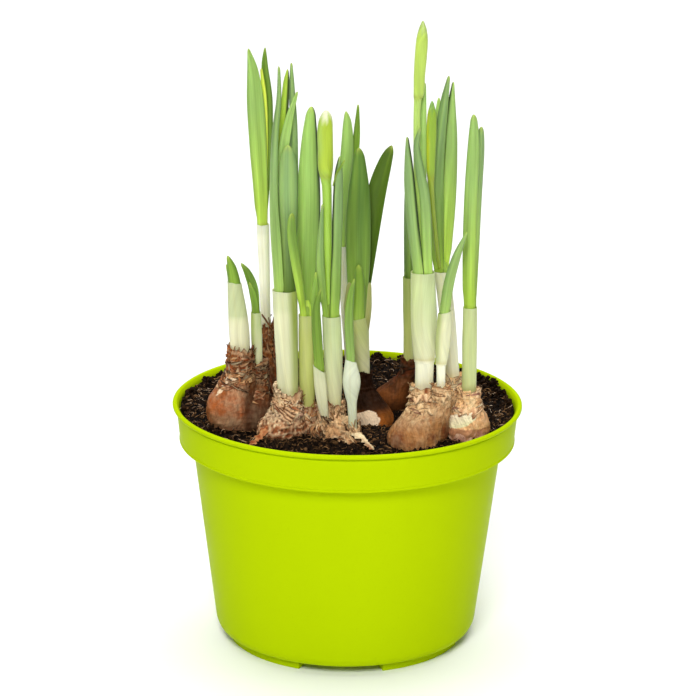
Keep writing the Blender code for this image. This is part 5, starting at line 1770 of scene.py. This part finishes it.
def add_scrap(drawing, rings, turn, z, length, width, heading, curl, colour, seed):
    """A torn scrap of coat on a nose; heading 0 lies round the nose and 90 stands upright."""
    paint, grain = layers(drawing)
    made = bmesh.ops.create_grid(drawing, x_segments=10, y_segments=3, size=1.0)["verts"]
    radius = max(sum(ring_at(rings, z)[2:]) / 2.0, 2.0)
    lean = math.radians(heading)
    bend = 0.2 * length * noise.noise(Vector((seed, 0.0, 5.0)))
    for vert in made:
        u, v = vert.co.x, vert.co.y
        rough = noise.noise(Vector((u * 1.6, v * 0.9, seed)))
        along = u * length / 2.0
        across = width / 2.0 * v * (1.0 - 0.8 * u * u) * (1.0 + 0.8 * rough) + bend * u * u
        height = z + along * math.sin(lean) + across * math.cos(lean)
        x, y, rx, ry = ring_at(rings, height)
        here = turn + (along * math.cos(lean) - across * math.sin(lean)) / radius
        out = 0.25 + 0.8 * curl * max(0.5 * v + 0.6 * u * u, 0.0) ** 2 + 0.55 * rough
        vert.co = on_oval(x, y, height, rx + out, ry + out, here)
        # Painted highlight where the scrap lifts and painted shade where it sinks; its edges are painted
        # dark, for the shade in the gaps between scraps.
        torn = max(abs(v), abs(u)) ** 5
        tint = mixed(colour, CREAM_SKIN_AND_HIGHLIGHT, max(0.7 * rough, 0.0))
        vert[paint] = (*mixed(tint, DARK_BROWN, 0.65 * torn + max(-0.6 * rough, 0.0)), 1.0)
        vert[grain] = (across + seed * 3.0, along, seed)
    faces = list({face for vert in made for face in vert.link_faces})
    bmesh.ops.recalc_face_normals(drawing, faces=faces)
    bmesh.ops.solidify(drawing, geom=faces, thickness=SCRAP_THICKNESS)


def add_collar(drawing, rings, fixed, free, flare, colour, seed):
    """A torn coat all round a nose, held at one height and flaring at the other (0 to 1)."""
    paint, grain = layers(drawing)
    made = bmesh.ops.create_grid(drawing, x_segments=84, y_segments=7, size=1.0)["verts"]
    widest, top = span_of(rings)
    pale = min(3.0 * sum(colour), 1.0)
    for vert in made:
        turn = math.pi * (vert.co.x + 1.0)
        t = (vert.co.y + 1.0) / 2.0
        torn = 0.8 + 0.55 * noise.noise(ringed(turn, 2.6, seed))
        torn += 0.2 * noise.noise(ringed(turn, 7.0, seed))
        reach = t * held(torn, 0.12, 1.25)
        z = widest + (top - widest) * (fixed + (free - fixed) * reach)
        x, y, rx, ry = ring_at(rings, z)
        ruffle = noise.noise(ringed(turn, 4.0, 0.8 * t + seed))
        out = -0.3 + (0.7 + flare * (0.6 + 1.2 * ruffle)) * reach * reach + 0.35 * ruffle * t
        vert.co = on_oval(x, y, z + 0.5 * ruffle * t, rx + out, ry + out, turn)
        # Painted highlight on the ruffles that stand out and painted shade in those that fall in.
        tint = mixed(colour, CREAM_SKIN_AND_HIGHLIGHT, max(1.1 * ruffle, 0.0) * pale)
        tint = mixed(tint, RED_BROWN, max(-1.2 * ruffle, 0.0))
        vert[paint] = (*mixed(tint, DARK_BROWN, 0.7 * t ** 9), 1.0)
        vert[grain] = (turn * rx, z, seed)
    bmesh.ops.remove_doubles(drawing, verts=made, dist=0.0001)
    faces = list({face for vert in made if vert.is_valid for face in vert.link_faces})
    bmesh.ops.recalc_face_normals(drawing, faces=faces)
    bmesh.ops.solidify(drawing, geom=faces, thickness=SCRAP_THICKNESS)


def add_shred(drawing, rings, draw, colour):
    """A thin standing strip of torn coat at a neck."""
    turn = draw.uniform(0.0, math.tau)
    widest, top = span_of(rings)
    height = widest + (top - widest) * draw.uniform(0.6, 1.0)
    x, y, rx, ry = ring_at(rings, height)
    tall = draw.uniform(2.5, 6.5)
    lean = draw.uniform(-0.4, 0.9)
    drift = draw.uniform(-0.8, 0.8)
    outward = ringed(turn, 1.0, 0.0)
    sideways = Vector((-math.sin(turn), math.cos(turn), 0.0))
    start = on_oval(x, y, height - 0.8, rx, ry, turn) - outward * 0.3
    at = []
    for t in (0.0, 0.35, 0.7, 1.0):
        point = start + outward * (lean * t * t * tall * 0.5) + sideways * (drift * t * tall * 0.6)
        point.z += tall * t * (1.0 - 0.25 * t * abs(lean))
        at.append((point.x, point.y, point.z, draw.uniform(0.5, 1.4) * (1.0 - 0.75 * t)))
    tint = mixed(colour, DARK_BROWN, draw.uniform(0.0, 1.0))
    shred = {"at": at, "face": 0, "front": tuple(outward), "cup": draw.uniform(-0.3, 0.3), "thick": 0.22,
             "colour_of": lambda rise, length, across: tint}
    add_blade(drawing, shred, rows=7, sides=6)


print("scrap helpers ready")

# %% [markdown]
# How ragged the bulbs are varies a lot: the first two are thick with scraps, the fifth and
# sixth nearly smooth, so a table sets it for each. The front of the third is left clear of
# scraps, so that its fans of folds show.

# %% Torn paper, and the finished bulbs
# For each bulb: scraps on each nose, their heights on it (0 widest ring, 1 collar), their
# headings, how far they curl, their colours and the number of upright shreds.
SCRAPS = {
    1: (64, (0.4, 1.02), (-24, 24), 0.8, [picked(150, 104, 70), RED_BROWN, DARK_BROWN, TAN, DARK_BROWN], 26),
    2: (60, (0.1, 1.04), (55, 125), 0.7, [RED_BROWN, picked(150, 100, 66), DARK_BROWN], 14),
    3: (26, (-0.1, 1.02), (-50, 20), 0.9, [TAN, STRAW, picked(176, 98, 58), picked(150, 100, 70), STRAW], 22),
    4: (36, (-0.3, 1.0), (-70, -30), 0.6, [STRAW, PEACH, TAN, picked(150, 100, 62), DARK_BROWN], 8),
    5: (2, (0.7, 1.0), (40, 130), 0.1, [picked(40, 26, 16), DARK_BROWN], 0),
    6: (1, (0.8, 0.95), (100, 120), 0.1, [picked(60, 40, 26), DARK_BROWN], 0),
    7: (18, (0.6, 1.04), (-25, 25), 1.0, [STRAW, TAN, CREAM_SKIN_AND_HIGHLIGHT, picked(160, 104, 78)], 6),
    8: (12, (0.5, 1.04), (-25, 25), 0.9, [PEACH, CREAM_SKIN_AND_HIGHLIGHT, picked(190, 128, 108)], 1),
}

# Torn coats all round: nose, height where held, height of the free edge, flare and colour.
COLLARS = {
    1: [(0, 0.5, 0.68, 0.6, TAN), (0, 0.6, 0.8, 0.7, RED_BROWN), (0, 0.9, 1.08, 0.3, picked(150, 104, 70)),
        (1, 0.5, 0.9, 0.6, RED_BROWN)],
    2: [(0, 0.4, 0.75, 0.5, RED_BROWN), (0, 0.7, 1.03, 0.3, picked(150, 100, 66))],
    3: [(0, 0.68, 1.08, 0.6, PEACH), (1, 0.6, 1.06, 0.5, TAN)],
    4: [(1, 0.0, 0.5, 1.0, STRAW), (1, 0.5, 1.04, 0.7, PEACH), (0, 0.1, 0.9, 0.6, TAN),
        (2, 0.3, 1.0, 0.5, STRAW)],
    7: [(0, 1.02, 0.8, 1.7, PEACH), (0, 0.86, 0.6, 1.5, STRAW), (0, 0.96, 1.09, 0.4, STRAW),
        (1, 1.0, 0.72, 1.4, STRAW), (1, 0.9, 1.07, 0.4, TAN)],
    8: [(1, 0.66, 0.42, 1.0, PEACH), (1, 0.06, -0.25, 1.2, picked(196, 142, 118)), (1, 0.8, 1.03, 0.5, PEACH),
        (0, 0.6, 1.08, 1.0, CREAM_SKIN_AND_HIGHLIGHT)],
}

# Torn tails of skin that hang down on to the compost, as (x, y, height, width).
TAILS = {
    4: [(2.9, -47.6, 121.0, 3.2), (4.6, -50.0, 118.4, 4.6), (8.4, -56.4, 116.9, 4.2),
        (10.6, -61.4, 116.0, 3.4), (12.2, -65.0, 115.4, 1.2)],
    3: [(-38.0, -44.0, 119.5, 3.0), (-41.0, -47.4, 116.0, 4.6), (-44.4, -50.4, 113.4, 4.0),
        (-46.4, -51.6, 112.0, 1.2)],
}
TAIL_BROWN = picked(150, 96, 62)


def tail_colour(rise, length, across):
    """Cream on its left, torn brown on its right and towards its end."""
    brown = 0.6 * across + 0.9 * abs(rise / length) ** 2 - 0.35
    brown += 0.9 * noise.noise(Vector((across * 1.5, rise * 1.1, 4.0)))
    return mixed(CREAM_SKIN_AND_HIGHLIGHT, TAIL_BROWN, brown)


def flap_colour(rise, length, across):
    """Red-brown, paler where it creases."""
    return mixed(RED_BROWN, TAN, 0.4 + 1.2 * noise.noise(Vector((across * 1.2, rise * 0.9, 7.0))))


TAIL_COLOURS = {4: tail_colour, 3: flap_colour}
scrap_draw = random.Random(5)
for number in COATS:
    bulb_drawing, noses = finish_bulb(number)
    count, heights, headings, curl, colours, shreds = SCRAPS[number]

    def draw_scrap(drawing, index):
        rings = noses[index % len(noses)][1]
        widest, top = span_of(rings)
        if index >= count * len(noses):
            add_shred(drawing, rings, scrap_draw, colours[0])
            return
        share, turn = scrap_draw.uniform(*heights), scrap_draw.uniform(0.0, math.tau)
        shape = (scrap_draw.uniform(5.0, 14.0), scrap_draw.uniform(0.5, 1.9), scrap_draw.uniform(*headings),
                 curl * scrap_draw.uniform(0.3, 1.3), scrap_draw.choice(colours),
                 scrap_draw.uniform(0.0, 90.0))
        if number != 3 or share > 0.6 or math.sin(turn) > -0.2:
            add_scrap(drawing, rings, turn, widest + (top - widest) * share, *shape)

    scrap_drawing = in_batches(draw_scrap, (count + shreds) * len(noses))
    for index, (nose, fixed, free, flare, colour) in enumerate(COLLARS.get(number, [])):
        add_collar(scrap_drawing, noses[nose][1], fixed, free, flare, colour, number * 3.1 + index * 1.7)
    if number in TAILS:
        tail = {"at": TAILS[number], "face": 0, "front": (0, 0, 1), "cup": -0.12, "thick": 0.4, "ragged": 1.1,
                "colour_of": TAIL_COLOURS[number]}
        add_blade(scrap_drawing, tail, rows=40)
    first = add_to(bulb_drawing, scrap_drawing)
    bulb_drawing.faces.ensure_lookup_table()
    for face in bulb_drawing.faces[first:]:
        face.material_index = 1
    put_down(f"papery_bulb_{number}", bulb_drawing, [coat_finish, scrap_finish],
             [f"bulb_{number}"], sharp=70)
